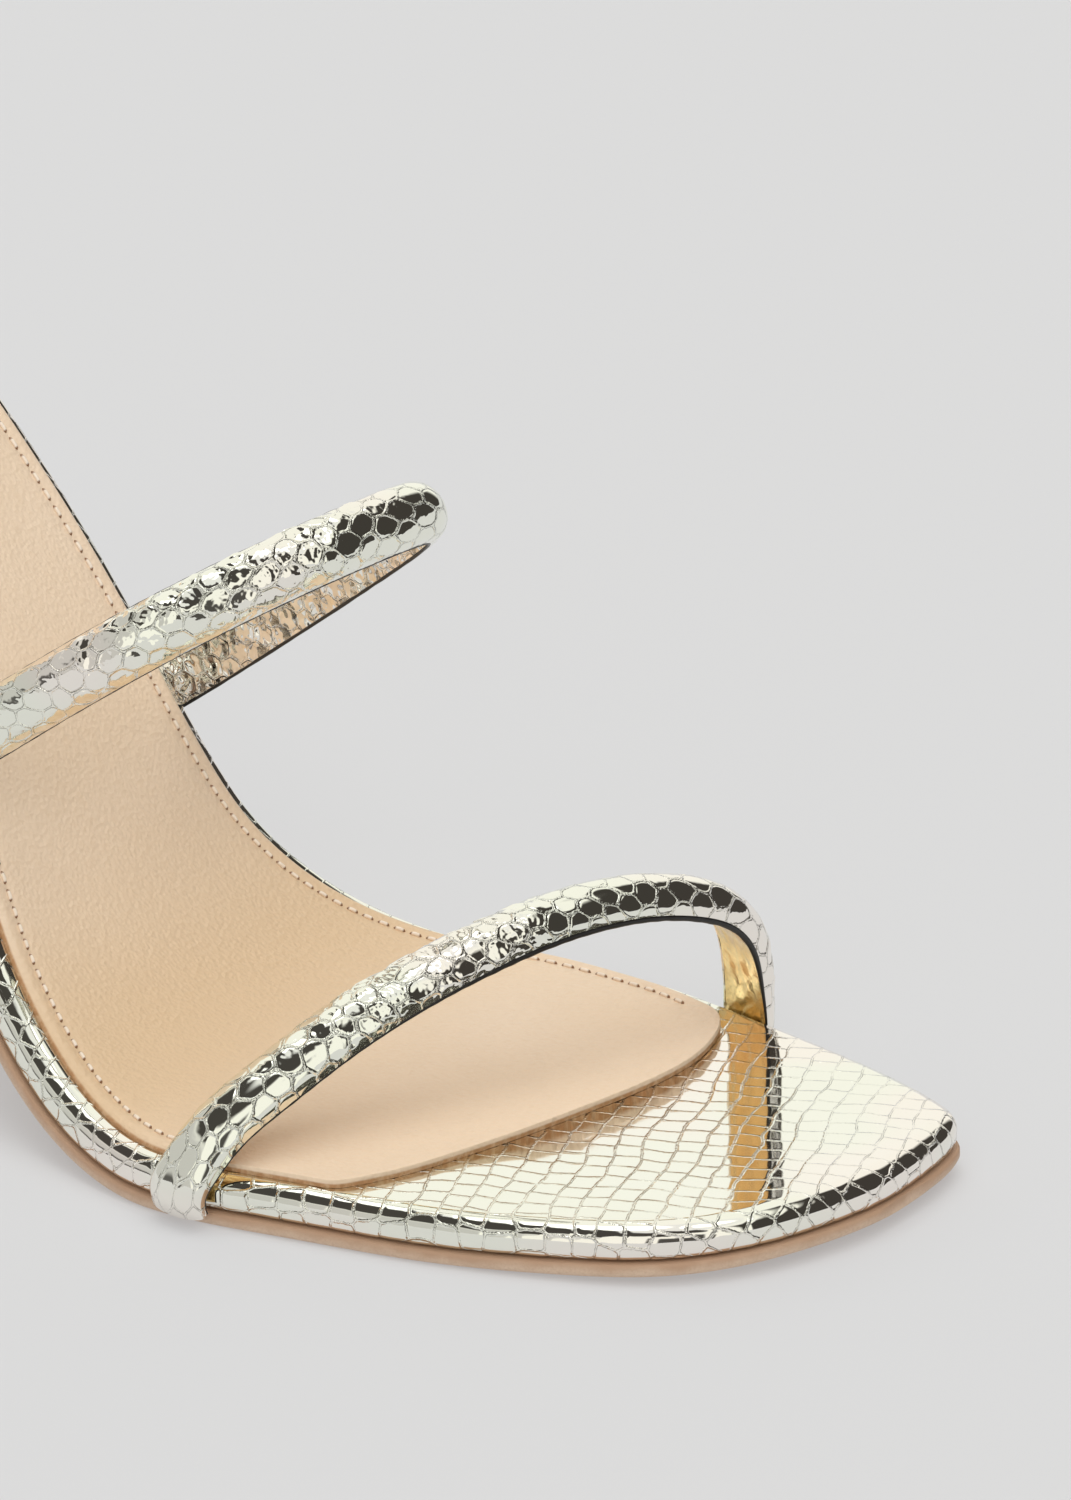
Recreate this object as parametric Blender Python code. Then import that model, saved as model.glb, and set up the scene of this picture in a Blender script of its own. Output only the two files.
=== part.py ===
"""Right strappy sandal with a slim high heel, modelled in metres.

+X points to the toe, +Y to the inner (medial) side and +Z up. The sandal stands on the floor, z = 0,
and the origin lies on the floor under the middle of its outline.

The sole pieces are cut flat and then bent. A point of a flat piece has a station (how far back from the
toe tip, along the sole), a side (its Y) and a level (how far above the underside of the outsole). The
side profile carries it to its place. Tables hold shares of the named sizes, chosen by hand.
"""
import math

import bmesh
import bpy
import numpy as np

# The last: length along the sole, width at the ball, heel and toe
FOOTBED_LENGTH = 0.250
BALL_WIDTH = 0.082
HEEL_HEIGHT = 0.100
TOE_SPRING = 0.0018
TREAD_FRONT = 0.050
TREAD_BACK = 0.077
HEEL_BREAST = 0.197

# Layers of the sole, from the floor up, and the clearance between pieces
OUTSOLE_THICKNESS = 0.0019
OUTSOLE_MARGIN = 0.0003
FOOTBED_THICKNESS = 0.0044
INSOLE_THICKNESS = 0.0008
INSOLE_INSET = 0.0027
INSOLE_FRONT = 0.0385
INSOLE_CORNER = 0.0012
CLEARANCE = 0.0003

# Straps: a half-round tube of padded leather, flattened where it goes down beside the footbed
STRAP_WIDTH = 0.0080
STRAP_THICKNESS = 0.0044
STRAP_BORDER = 0.0009
TOE_STRAP_OUTER = 0.0713
TOE_STRAP_INNER = 0.0433
TOE_STRAP_RISE = 0.0242
TOE_STRAP_LEAN = 5.0
INSTEP_STRAP_OUTER = 0.1440
INSTEP_STRAP_INNER = 0.1402
INSTEP_STRAP_RISE = 0.0622
INSTEP_STRAP_LEAN = 52.0

# Heel: a slim covered column with a small top piece under it
HEEL_TIP_WIDTH = 0.0098
HEEL_TIP_DEPTH = 0.0102
HEEL_TIP_SETBACK = 0.0135
HEEL_SEAT_INSET = 0.0004
TOP_PIECE_THICKNESS = 0.0050
# Powers of the tip's half-round section: below one, its back and its sides are fuller than a circle's
TIP_BACK_POWER = 0.9
TIP_SIDE_POWER = 0.8

# How finely the faceted solids are cut
SOLE_STATIONS = 56
STRAP_STATIONS = 64
STRAP_ROUND_POINTS = 10
HEEL_ROWS = 22
HEEL_POINTS = 15
SHARP_ANGLE = math.radians(40)

# How finely the curves are worked out
PROFILE_STATIONS = 1001
STEEPEST_LIMIT = math.radians(80)
STEEPEST_HALVINGS = 40
OUTLINE_STEP = 0.0005
# The stations of an open end are spread over a little more than a quarter turn
OPEN_END_TURN = 1.15 * math.pi / 2
# Behind this share of the length the outline rounds off, and its slope no longer widens an inset
SQUEEZE_END = 0.9

# Slope of the sole, as shares of its steepest slope, at shares of the length behind the tread
ARCH_SLOPE = (
    # station, slope
    (0.000, 0.000),
    (0.020, 0.075),
    (0.105, 0.370),
    (0.195, 0.680),
    (0.305, 0.985),
    (0.370, 0.985),
    (0.430, 0.920),
    (0.570, 0.785),
    (0.710, 0.640),
    (0.855, 0.455),
    (1.000, 0.300),
)

# Outline of the footbed: station as a share of its length, sides as shares of the ball width
OUTLINE = (
    # station, inner side, outer side
    (0.000, 0.093, 0.093),
    (0.006, 0.268, -0.030),
    (0.024, 0.330, -0.172),
    (0.056, 0.371, -0.292),
    (0.100, 0.410, -0.366),
    (0.160, 0.448, -0.435),
    (0.240, 0.474, -0.496),
    (0.300, 0.455, -0.529),
    (0.360, 0.400, -0.502),
    (0.440, 0.317, -0.428),
    (0.540, 0.266, -0.354),
    (0.640, 0.260, -0.315),
    (0.760, 0.272, -0.318),
    (0.860, 0.300, -0.325),
    (0.940, 0.270, -0.285),
    (0.980, 0.185, -0.200),
    (1.000, -0.010, -0.010),
)

# Front edge of the insole: side as a share of the ball width, setback as a share of the same width
INSOLE_FRONT_EDGE = (
    # side, setback
    (-0.520, 0.380),
    (-0.494, 0.272),
    (-0.463, 0.205),
    (-0.366, 0.139),
    (-0.171, 0.073),
    (0.000, 0.031),
    (0.116, 0.008),
    (0.207, 0.000),
    (0.304, 0.014),
    (0.363, 0.038),
    (0.395, 0.064),
    (0.425, 0.120),
    (0.440, 0.200),
)

# Path of the toe strap's back, from the outer foot to the inner one: across as a share of the span,
# rise as a share of the strap's rise, turn in degrees from +X, fullness as a share of the thickness
TOE_STRAP_PATH = (
    # across, rise, turn, fullness
    (0.000, 0.000, 2.0, 0.45),
    (-0.007, 0.080, 3.0, 0.50),
    (0.012, 0.200, 7.0, 0.70),
    (0.054, 0.345, 12.0, 0.90),
    (0.127, 0.490, 16.0, 1.00),
    (0.230, 0.665, 18.0, 1.00),
    (0.339, 0.810, 19.0, 1.00),
    (0.483, 0.935, 19.0, 1.00),
    (0.631, 1.000, 19.0, 1.00),
    (0.740, 0.985, 19.0, 1.00),
    (0.862, 0.880, 19.0, 1.00),
    (0.919, 0.775, 19.0, 1.00),
    (0.957, 0.625, 19.0, 1.00),
    (0.981, 0.400, 17.0, 0.90),
    (0.995, 0.180, 13.0, 0.70),
    (1.000, 0.000, 10.0, 0.50),
)

# Path of the instep strap's back, in the same columns
INSTEP_STRAP_PATH = (
    # across, rise, turn, fullness
    (0.000, 0.000, 9.0, 0.45),
    (-0.010, 0.055, 9.0, 0.50),
    (-0.018, 0.130, 7.0, 0.75),
    (-0.021, 0.240, 4.0, 1.00),
    (-0.019, 0.360, 1.0, 1.00),
    (-0.002, 0.500, 0.0, 1.00),
    (0.042, 0.645, 0.0, 1.00),
    (0.117, 0.768, 0.0, 1.00),
    (0.227, 0.864, 0.0, 1.00),
    (0.367, 0.934, 0.0, 1.00),
    (0.530, 0.982, 0.0, 1.00),
    (0.680, 1.000, 0.0, 1.00),
    (0.785, 0.982, 0.0, 1.00),
    (0.850, 0.922, 0.0, 1.00),
    (0.892, 0.835, 0.0, 1.00),
    (0.925, 0.720, 0.0, 1.00),
    (0.961, 0.560, 0.0, 1.00),
    (0.990, 0.380, 0.0, 1.00),
    (1.008, 0.220, -1.0, 0.90),
    (1.014, 0.120, -2.0, 0.70),
    (1.008, 0.050, -3.0, 0.50),
    (1.000, 0.000, -3.0, 0.45),
)

# Heel sections between the tip and the seat, which is one at every share
HEEL_FORM = (
    # height, front, back, width, tilt
    (0.000, 0.000, 0.000, 0.000, 0.000),
    (0.120, 0.014, 0.035, 0.030, 0.000),
    (0.250, 0.035, 0.090, 0.070, 0.000),
    (0.380, 0.065, 0.165, 0.115, 0.020),
    (0.500, 0.105, 0.250, 0.170, 0.070),
    (0.600, 0.165, 0.350, 0.245, 0.170),
    (0.690, 0.255, 0.470, 0.350, 0.330),
    (0.770, 0.390, 0.600, 0.485, 0.520),
    (0.840, 0.560, 0.730, 0.640, 0.710),
    (0.900, 0.740, 0.850, 0.800, 0.870),
    (0.955, 0.900, 0.940, 0.930, 0.970),
    (1.000, 1.000, 1.000, 1.000, 1.000),
)

# Edge profiles of the sole's layers: level and inset, both as shares of the layer's thickness
OUTSOLE_EDGE = ((0.00, 0.63), (0.16, 0.16), (0.45, 0.0), (0.80, 0.0), (1.00, 0.16))
FOOTBED_EDGE = ((0.00, 0.205), (0.10, 0.045), (0.26, 0.0), (0.52, 0.0), (0.72, 0.068),
                (0.88, 0.227), (0.97, 0.409), (1.00, 0.591))
INSOLE_EDGE = ((0.00, 0.0), (0.70, 0.0), (1.00, 0.25))
TOP_PIECE_EDGE = ((0.00, 0.08), (0.10, 0.0), (1.00, 0.0))


def column(table, index):
    return np.array([row[index] for row in table], float)


def smooth(xs, ys, at):
    """Cubic curve through the table that never overshoots: its slopes are harmonic means of the
    slopes to the two neighbours, and nothing where these differ in sign."""
    xs, ys, at = np.asarray(xs, float), np.asarray(ys, float), np.asarray(at, float)
    step = np.diff(xs)
    rise = np.diff(ys) / step
    slope = np.zeros(len(xs))
    slope[0], slope[-1] = rise[0], rise[-1]
    before, after = rise[:-1], rise[1:]
    same = before * after > 0
    near, far = 2 * step[1:] + step[:-1], step[1:] + 2 * step[:-1]
    slope[1:-1][same] = ((near + far)[same]
                         / (near[same] / before[same] + far[same] / after[same]))
    i = np.clip(np.searchsorted(xs, at, side="right") - 1, 0, len(xs) - 2)
    t = (at - xs[i]) / step[i]
    return (ys[i] * (1 + 2 * t) * (1 - t) ** 2 + ys[i + 1] * t * t * (3 - 2 * t)
            + step[i] * (slope[i] * t * (1 - t) ** 2 - slope[i + 1] * t * t * (1 - t)))


def spline(xs, ys, at):
    """Natural cubic spline: the curve through the points whose bending changes smoothly."""
    xs, ys, at = np.asarray(xs, float), np.asarray(ys, float), np.asarray(at, float)
    n, step = len(xs), np.diff(xs)
    rise = np.diff(ys) / step
    system = np.eye(n)
    bend = np.zeros(n)
    for k in range(1, n - 1):
        system[k, k - 1:k + 2] = step[k - 1], 2 * (step[k - 1] + step[k]), step[k]
        bend[k] = 6 * (rise[k] - rise[k - 1])
    bend = np.linalg.solve(system, bend)
    i = np.clip(np.searchsorted(xs, at, side="right") - 1, 0, n - 2)
    a, b = (xs[i + 1] - at) / step[i], (at - xs[i]) / step[i]
    return (a * ys[i] + b * ys[i + 1]
            + ((a ** 3 - a) * bend[i] + (b ** 3 - b) * bend[i + 1]) * step[i] ** 2 / 6)


def side_profile(steepest):
    """Stations, x, z and slope of the outsole's underside, from the toe tip back. The slope rises
    to the toe in front of the tread, is nothing along it, and follows the arch table behind. In front
    it is a parabola, whose top is 1.5 times its mean, so the toe rises by the toe spring."""
    station = np.linspace(0.0, FOOTBED_LENGTH, PROFILE_STATIONS)
    toe = 1 - np.clip(station / TREAD_FRONT, 0, 1) ** 2
    toe_slope = 1.5 * TOE_SPRING / TREAD_FRONT
    behind = np.clip((station - TREAD_BACK) / (FOOTBED_LENGTH - TREAD_BACK), 0, 1)
    arch = smooth(column(ARCH_SLOPE, 0), column(ARCH_SLOPE, 1), behind)
    slope = steepest * arch - toe_slope * toe
    middle = (slope[1:] + slope[:-1]) / 2
    step = np.diff(station)
    x = -np.concatenate([[0.0], np.cumsum(np.cos(middle) * step)])
    z = np.concatenate([[0.0], np.cumsum(np.sin(middle) * step)])
    return station, x, z - np.interp((TREAD_FRONT + TREAD_BACK) / 2, station, z), slope


def solve_profile():
    """Side profile whose back end is at the heel height, found by halving the steepest slope."""
    low, high = 0.0, STEEPEST_LIMIT
    for _ in range(STEEPEST_HALVINGS):
        steepest = (low + high) / 2
        if side_profile(steepest)[2][-1] < HEEL_HEIGHT:
            low = steepest
        else:
            high = steepest
    return side_profile(steepest)


PROFILE = solve_profile()


def bend(station, side, level):
    """World place of points of the flat sole: along the profile, then out along its normal."""
    stations, x, z, slope = PROFILE
    angle = np.interp(station, stations, slope)
    return np.stack([np.interp(station, stations, x) + level * np.sin(angle),
                     np.asarray(side, float) + 0 * angle,
                     np.interp(station, stations, z) + level * np.cos(angle)], axis=-1)


def outline_side(station, index):
    """Side of the footbed's outline (index 1 inner, 2 outer). The spline runs over the angle whose
    cosine falls along the length, so both ends of the outline are round."""
    turn = np.arccos(1 - 2 * column(OUTLINE, 0))
    at = np.arccos(np.clip(1 - 2 * np.asarray(station) / FOOTBED_LENGTH, -1, 1))
    return BALL_WIDTH * spline(turn, column(OUTLINE, index), at)


def outline_slope(station, index):
    """How fast the outline's side changes with the station."""
    ahead = outline_side(station + OUTLINE_STEP, index)
    return (ahead - outline_side(station - OUTLINE_STEP, index)) / (2 * OUTLINE_STEP)


def spaced(start, end, count, end_round):
    """Stations from start, closer at a round end."""
    turn = np.linspace(0, math.pi if end_round else OPEN_END_TURN, count)
    share = (1 - np.cos(turn)) / (1 - math.cos(turn[-1]))
    return start + (end - start) * share


def footbed_halves(start, end, end_round=True):
    """Inner and outer half of the footbed's outline as (station, side) points."""
    station = spaced(start, end, SOLE_STATIONS, end_round)
    return [np.stack([station, outline_side(station, index)], axis=-1) for index in (1, 2)]


def insole_halves():
    """Halves of the insole's outline: the footbed's own, inset, cut by the insole's front edge."""
    station = spaced(INSOLE_FRONT, FOOTBED_LENGTH - INSOLE_INSET, SOLE_STATIONS, True)
    side = BALL_WIDTH * column(INSOLE_FRONT_EDGE, 0)
    setback = INSOLE_FRONT + BALL_WIDTH * column(INSOLE_FRONT_EDGE, 1)
    tip = int(np.argmin(setback))
    halves = []
    for index, run, sign in ((1, slice(tip, None), 1), (2, slice(tip, None, -1), -1)):
        reach = np.sqrt(setback[run] - INSOLE_FRONT)
        front = smooth(reach, side[run] * sign, np.minimum(np.sqrt(station - INSOLE_FRONT), reach[-1]))
        slope = outline_slope(np.minimum(station, SQUEEZE_END * FOOTBED_LENGTH), index)
        inset = outline_side(np.minimum(station * FOOTBED_LENGTH / station[-1], FOOTBED_LENGTH), index)
        inset = inset * sign - INSOLE_INSET * np.hypot(slope, 1.0)
        lower = np.minimum(front, inset)
        gap = np.abs(front - inset)
        soft = lower - np.clip(INSOLE_CORNER - gap, 0, None) ** 2 / (4 * INSOLE_CORNER)
        soft[0] = front[0]
        halves.append(np.stack([station, soft * sign], axis=-1))
    tip_side = (halves[0][-1, 1] + halves[1][-1, 1]) / 2
    halves[0][-1, 1] = halves[1][-1, 1] = tip_side
    return halves


def inset_loop(halves, inset):
    """The closed outline moved inwards by the inset, square to itself."""
    inner, outer = halves
    closed_end = np.allclose(inner[-1], outer[-1])
    loop = np.concatenate([inner, outer[::-1][1 if closed_end else 0:-1]])
    along = np.roll(loop, -1, axis=0) - np.roll(loop, 1, axis=0)
    along /= np.linalg.norm(along, axis=1)[:, None]
    return loop + inset * np.stack([along[:, 1], -along[:, 0]], axis=-1), closed_end


def layer(name, halves, bottom, thickness, edge, grow=0.0):
    """A flat layer of the sole, bent: its edge is rows of insets and levels, and strips from side
    to side close its underside and its top."""
    rows = []
    for level, inset in edge:
        loop, closed_end = inset_loop(halves, inset * thickness - grow)
        rows.append(bend(loop[:, 0], loop[:, 1], bottom + level * thickness))
    return loft(name, rows, strips=(len(halves[0]), closed_end))


def loft(name, rows, strips=None):
    """Object whose skin joins closed rows of points, closed by fans, or by strips on a sole."""
    mesh = bpy.data.meshes.new(name)
    shape = bmesh.new()
    points = [[shape.verts.new(p) for p in row] for row in rows]
    count = len(rows[0])
    for lower, upper in zip(points, points[1:]):
        for k in range(count):
            n = (k + 1) % count
            shape.faces.new((lower[k], lower[n], upper[n], upper[k]))
    for row in (points[0], points[-1]):
        if strips is None:
            shape.faces.new(row)
        else:
            half, closed_end = strips
            pair = [(row[0], row[0])] + [(row[k], row[count - k]) for k in range(1, half)]
            if closed_end:
                pair[-1] = (row[half - 1], row[half - 1])
            for (a, b), (c, d) in zip(pair, pair[1:]):
                shape.faces.new(list(dict.fromkeys((a, b, d, c))))
    bmesh.ops.recalc_face_normals(shape, faces=shape.faces)
    shape.to_mesh(mesh)
    shape.free()
    mesh.set_sharp_from_angle(angle=SHARP_ANGLE)
    return bpy.data.objects.new(name, mesh)


def wall_point(station, index, level, away):
    """A point outside the footbed's wall, away from it along the plan normal."""
    sign = 1 if index == 1 else -1
    slope = outline_slope(station, index)
    square = np.array([-slope, 1.0]) * sign / math.hypot(slope, 1.0)
    side = outline_side(station, index) + away * square[1]
    return bend(np.array(station + away * square[0]), np.array(side), level)


def strap(name, outer_station, inner_station, rise, lean, path):
    """A padded strap: a half-round section carried along its path. The path lies in a plane over
    the two feet that leans forward, and the flat back of the section faces the foot."""
    foot_level = OUTSOLE_THICKNESS + CLEARANCE
    outer = wall_point(outer_station, 2, foot_level, CLEARANCE)
    inner = wall_point(inner_station, 1, foot_level, CLEARANCE)
    angle = math.radians(lean)
    upward = np.array([math.sin(angle), 0.0, math.cos(angle)])
    across, up = column(path, 0), column(path, 1)
    points = outer + across[:, None] * (inner - outer) + (up * rise)[:, None] * upward
    run = np.concatenate([[0.0], np.cumsum(np.linalg.norm(np.diff(points, axis=0), axis=1))])
    at = np.linspace(0.0, run[-1], STRAP_STATIONS)
    centre = np.stack([spline(run, points[:, k], at) for k in range(3)], axis=-1)
    along = np.gradient(centre, axis=0)
    along /= np.linalg.norm(along, axis=1)[:, None]
    turn = np.radians(smooth(run, column(path, 2), at))
    wide = np.stack([math.cos(angle) * np.cos(turn), -np.sin(turn),
                     -math.sin(angle) * np.cos(turn)], axis=-1)
    out = np.cross(wide, along)
    out /= np.linalg.norm(out, axis=1)[:, None]
    if out[STRAP_STATIONS // 2, 2] < 0:
        out = -out
    wide = np.cross(along, out)
    full = smooth(run, column(path, 3), at)
    round_part = np.linspace(0.0, math.pi, STRAP_ROUND_POINTS)
    rows = []
    for k in range(STRAP_STATIONS):
        crown = STRAP_THICKNESS * full[k] - STRAP_BORDER
        section = [(STRAP_WIDTH / 2, 0.0)]
        section += [(STRAP_WIDTH / 2 * math.cos(a), STRAP_BORDER + crown * math.sin(a))
                    for a in round_part]
        section += [(-STRAP_WIDTH / 2, 0.0)]
        rows.append([centre[k] + w * wide[k] + h * out[k] for w, h in section])
    return loft(name, rows)


def tip_section(width, depth):
    """Half-round plan section about its middle: straight at the breast, round at the back."""
    turn = np.linspace(0.0, math.pi, HEEL_POINTS * 2 - 1)
    x = depth / 2 - depth * np.abs(np.sin(turn)) ** TIP_BACK_POWER
    y = width / 2 * np.sign(np.cos(turn)) * np.abs(np.cos(turn)) ** TIP_SIDE_POWER
    return np.stack([x, y], axis=-1)


def seat_section():
    """The heel's top: under the footbed, from the breast round the back of its outline."""
    turn = np.linspace(0.0, math.pi, HEEL_POINTS * 2 - 1)
    start = HEEL_BREAST + CLEARANCE
    station = start + (FOOTBED_LENGTH - HEEL_SEAT_INSET - start) * np.sin(turn)
    inner = outline_side(station, 1) - HEEL_SEAT_INSET
    outer = outline_side(station, 2) + HEEL_SEAT_INSET
    middle = (inner[HEEL_POINTS - 1] + outer[HEEL_POINTS - 1]) / 2
    side = np.where(turn < math.pi / 2, np.maximum(inner, middle), np.minimum(outer, middle))
    side[HEEL_POINTS - 1] = middle
    return bend(station, side, OUTSOLE_THICKNESS)


def tip_middle():
    """Plan middle of the heel's tip."""
    seat = seat_section()
    back = seat[:, 0].min()
    return np.array([back + HEEL_TIP_SETBACK, seat[HEEL_POINTS - 1, 1]])


def heel(name):
    """The heel's column: each section lies between the tip's outline and the seat's."""
    seat = seat_section()
    tip = tip_section(HEEL_TIP_WIDTH, HEEL_TIP_DEPTH) + tip_middle()
    floor = TOP_PIECE_THICKNESS + CLEARANCE
    seat_level = seat[:, 2].mean()
    share = column(HEEL_FORM, 0)
    backness = np.sin(np.linspace(0.0, math.pi, len(seat)))
    rows = []
    for height in np.linspace(0.0, 1.0, HEEL_ROWS):
        front, back, width, tilt = (float(smooth(share, column(HEEL_FORM, k), height))
                                    for k in (1, 2, 3, 4))
        along = front + (back - front) * backness
        x = tip[:, 0] + along * (seat[:, 0] - tip[:, 0])
        y = tip[:, 1] + width * (seat[:, 1] - tip[:, 1])
        z = floor + height * (seat_level - floor) + tilt * (seat[:, 2] - seat_level)
        rows.append(np.stack([x, y, z], axis=-1))
    return loft(name, rows)


def top_piece(name):
    """The small lift that the heel stands on."""
    rows = []
    for level, inset in TOP_PIECE_EDGE:
        cut = 2 * inset * TOP_PIECE_THICKNESS
        plan = tip_section(HEEL_TIP_WIDTH - cut, HEEL_TIP_DEPTH - cut) + tip_middle()
        rows.append(np.column_stack([plan, np.full(len(plan), level * TOP_PIECE_THICKNESS)]))
    return loft(name, rows)


def material(name, colour, roughness, metallic):
    made = bpy.data.materials.new(name)
    made.use_nodes = True
    shader = made.node_tree.nodes["Principled BSDF"]
    shader.inputs["Base Color"].default_value = (*colour, 1.0)
    shader.inputs["Roughness"].default_value = roughness
    shader.inputs["Metallic"].default_value = metallic
    return made


def build():
    for thing in list(bpy.data.objects):
        bpy.data.objects.remove(thing, do_unlink=True)
    collection = bpy.data.collections.new("strappy_heeled_sandal")
    bpy.context.scene.collection.children.link(collection)

    footbed_level = OUTSOLE_THICKNESS + CLEARANCE
    insole_level = footbed_level + FOOTBED_THICKNESS + CLEARANCE
    outsole = layer("outsole", footbed_halves(0.0, HEEL_BREAST, end_round=False), 0.0,
                    OUTSOLE_THICKNESS, OUTSOLE_EDGE, grow=OUTSOLE_MARGIN)
    footbed = layer("wrapped_footbed", footbed_halves(0.0, FOOTBED_LENGTH), footbed_level,
                    FOOTBED_THICKNESS, FOOTBED_EDGE)
    insole = layer("insole", insole_halves(), insole_level, INSOLE_THICKNESS, INSOLE_EDGE)
    toe = strap("toe_strap", TOE_STRAP_OUTER, TOE_STRAP_INNER, TOE_STRAP_RISE, TOE_STRAP_LEAN,
                TOE_STRAP_PATH)
    instep = strap("instep_strap", INSTEP_STRAP_OUTER, INSTEP_STRAP_INNER, INSTEP_STRAP_RISE,
                   INSTEP_STRAP_LEAN, INSTEP_STRAP_PATH)
    column_heel = heel("heel")
    lift = top_piece("heel_top_piece")

    pieces = {
        outsole: ((0.36, 0.22, 0.13), 0.60, 0.0),
        footbed: ((0.86, 0.82, 0.70), 0.16, 1.0),
        insole: ((0.80, 0.62, 0.45), 0.50, 0.0),
        toe: ((0.86, 0.82, 0.70), 0.16, 1.0),
        instep: ((0.86, 0.82, 0.70), 0.16, 1.0),
        column_heel: ((0.86, 0.82, 0.70), 0.16, 1.0),
        lift: ((0.08, 0.07, 0.06), 0.70, 0.0),
    }
    corners = np.concatenate([[v.co[:] for v in piece.data.vertices] for piece in pieces])
    middle = (corners.min(axis=0) + corners.max(axis=0)) / 2
    for piece, (colour, roughness, metallic) in pieces.items():
        piece.data.materials.append(material(piece.name, colour, roughness, metallic))
        piece.location = (-middle[0], -middle[1], 0.0)
        collection.objects.link(piece)


build()
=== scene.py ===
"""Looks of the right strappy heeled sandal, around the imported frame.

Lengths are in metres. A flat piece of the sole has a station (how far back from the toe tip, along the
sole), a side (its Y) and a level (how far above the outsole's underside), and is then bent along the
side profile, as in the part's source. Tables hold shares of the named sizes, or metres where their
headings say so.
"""
import math

import bmesh
import bpy
import numpy as np
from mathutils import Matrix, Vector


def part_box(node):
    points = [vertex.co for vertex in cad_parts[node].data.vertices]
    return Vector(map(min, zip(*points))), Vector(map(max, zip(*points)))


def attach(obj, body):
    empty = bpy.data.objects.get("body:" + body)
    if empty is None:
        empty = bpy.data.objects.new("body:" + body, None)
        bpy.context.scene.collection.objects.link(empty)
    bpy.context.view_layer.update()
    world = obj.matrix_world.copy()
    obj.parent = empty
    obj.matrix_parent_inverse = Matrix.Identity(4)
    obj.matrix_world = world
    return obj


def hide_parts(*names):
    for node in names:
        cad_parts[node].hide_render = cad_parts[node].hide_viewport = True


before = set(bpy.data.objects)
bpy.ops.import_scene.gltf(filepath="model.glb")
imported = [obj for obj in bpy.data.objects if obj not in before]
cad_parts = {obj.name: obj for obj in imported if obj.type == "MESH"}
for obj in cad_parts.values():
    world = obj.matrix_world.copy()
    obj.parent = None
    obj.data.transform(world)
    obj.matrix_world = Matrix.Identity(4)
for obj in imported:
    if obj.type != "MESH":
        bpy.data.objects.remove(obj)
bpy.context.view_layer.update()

# Camera
# It looks from in front of the toe's outer side, from above, through a long lens. Its place, lens and
# roll were fitted to the outline, the straps and the sole's edge in the photograph. The lens and its
# sensor are in millimetres.
VIEW_AZIMUTH = math.radians(34.75)
VIEW_ELEVATION = math.radians(23.046)
VIEW_ROLL = math.radians(0.6326)
VIEW_DISTANCE = 1.3617
VIEW_TARGET = np.array([0.011057, 0.066785, 0.020])
VIEW_LENS = 250.93
VIEW_SENSOR = 36.0

turned = np.array([math.cos(VIEW_AZIMUTH), math.sin(VIEW_AZIMUTH), 0.0])
backward = np.array([math.sin(VIEW_AZIMUTH) * math.cos(VIEW_ELEVATION),
                     -math.cos(VIEW_AZIMUTH) * math.cos(VIEW_ELEVATION), math.sin(VIEW_ELEVATION)])
upward = np.cross(backward, turned)
right = math.cos(VIEW_ROLL) * turned + math.sin(VIEW_ROLL) * upward
above = math.cos(VIEW_ROLL) * upward - math.sin(VIEW_ROLL) * turned
pose = np.eye(4)
pose[:3, 0], pose[:3, 1], pose[:3, 2] = right, above, backward
pose[:3, 3] = VIEW_TARGET + VIEW_DISTANCE * backward
camera_data = bpy.data.cameras.new("photo_camera")
camera_data.sensor_fit = "VERTICAL"
camera_data.sensor_height = VIEW_SENSOR
camera_data.lens = VIEW_LENS
camera = bpy.data.objects.new("photo_camera", camera_data)
camera.matrix_world = pose.T.tolist()
bpy.context.scene.collection.objects.link(camera)
bpy.context.scene.camera = camera

# Outsole
# A thin leather sole cut to the last's outline, with a matte brown painted edge that is darker at its
# top and rubbed paler at the floor. It ends at the heel's breast and is cemented under the footbed.
FOOTBED_LENGTH = 0.250
BALL_WIDTH = 0.082
HEEL_HEIGHT = 0.100
TOE_SPRING = 0.0018
TREAD_FRONT = 0.050
TREAD_BACK = 0.077
HEEL_BREAST = 0.197
OUTSOLE_THICKNESS = 0.0019
OUTSOLE_MARGIN = 0.0003
CLEARANCE = 0.0003
OUTSOLE_SPACING = 0.0007
PROFILE_STATIONS = 1001
STEEPEST_LIMIT = math.radians(80)
STEEPEST_HALVINGS = 40
OUTLINE_STEP = 0.0005
OUTLINE_SAMPLES = 8001
OUTSOLE_EDGE = (
    # level as a share of the thickness, inset in metres
    (0.00, 0.0014),
    (0.05, 0.0007),
    (0.16, 0.0003),
    (0.45, 0.0),
    (0.80, 0.0),
    (0.95, 0.00012),
    (1.00, 0.0003),
)
OUTSOLE_BROWN = (0.500, 0.315, 0.205)
OUTSOLE_TAN = (0.720, 0.540, 0.400)
OUTSOLE_BASE = (0.470, 0.300, 0.180)

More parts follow.
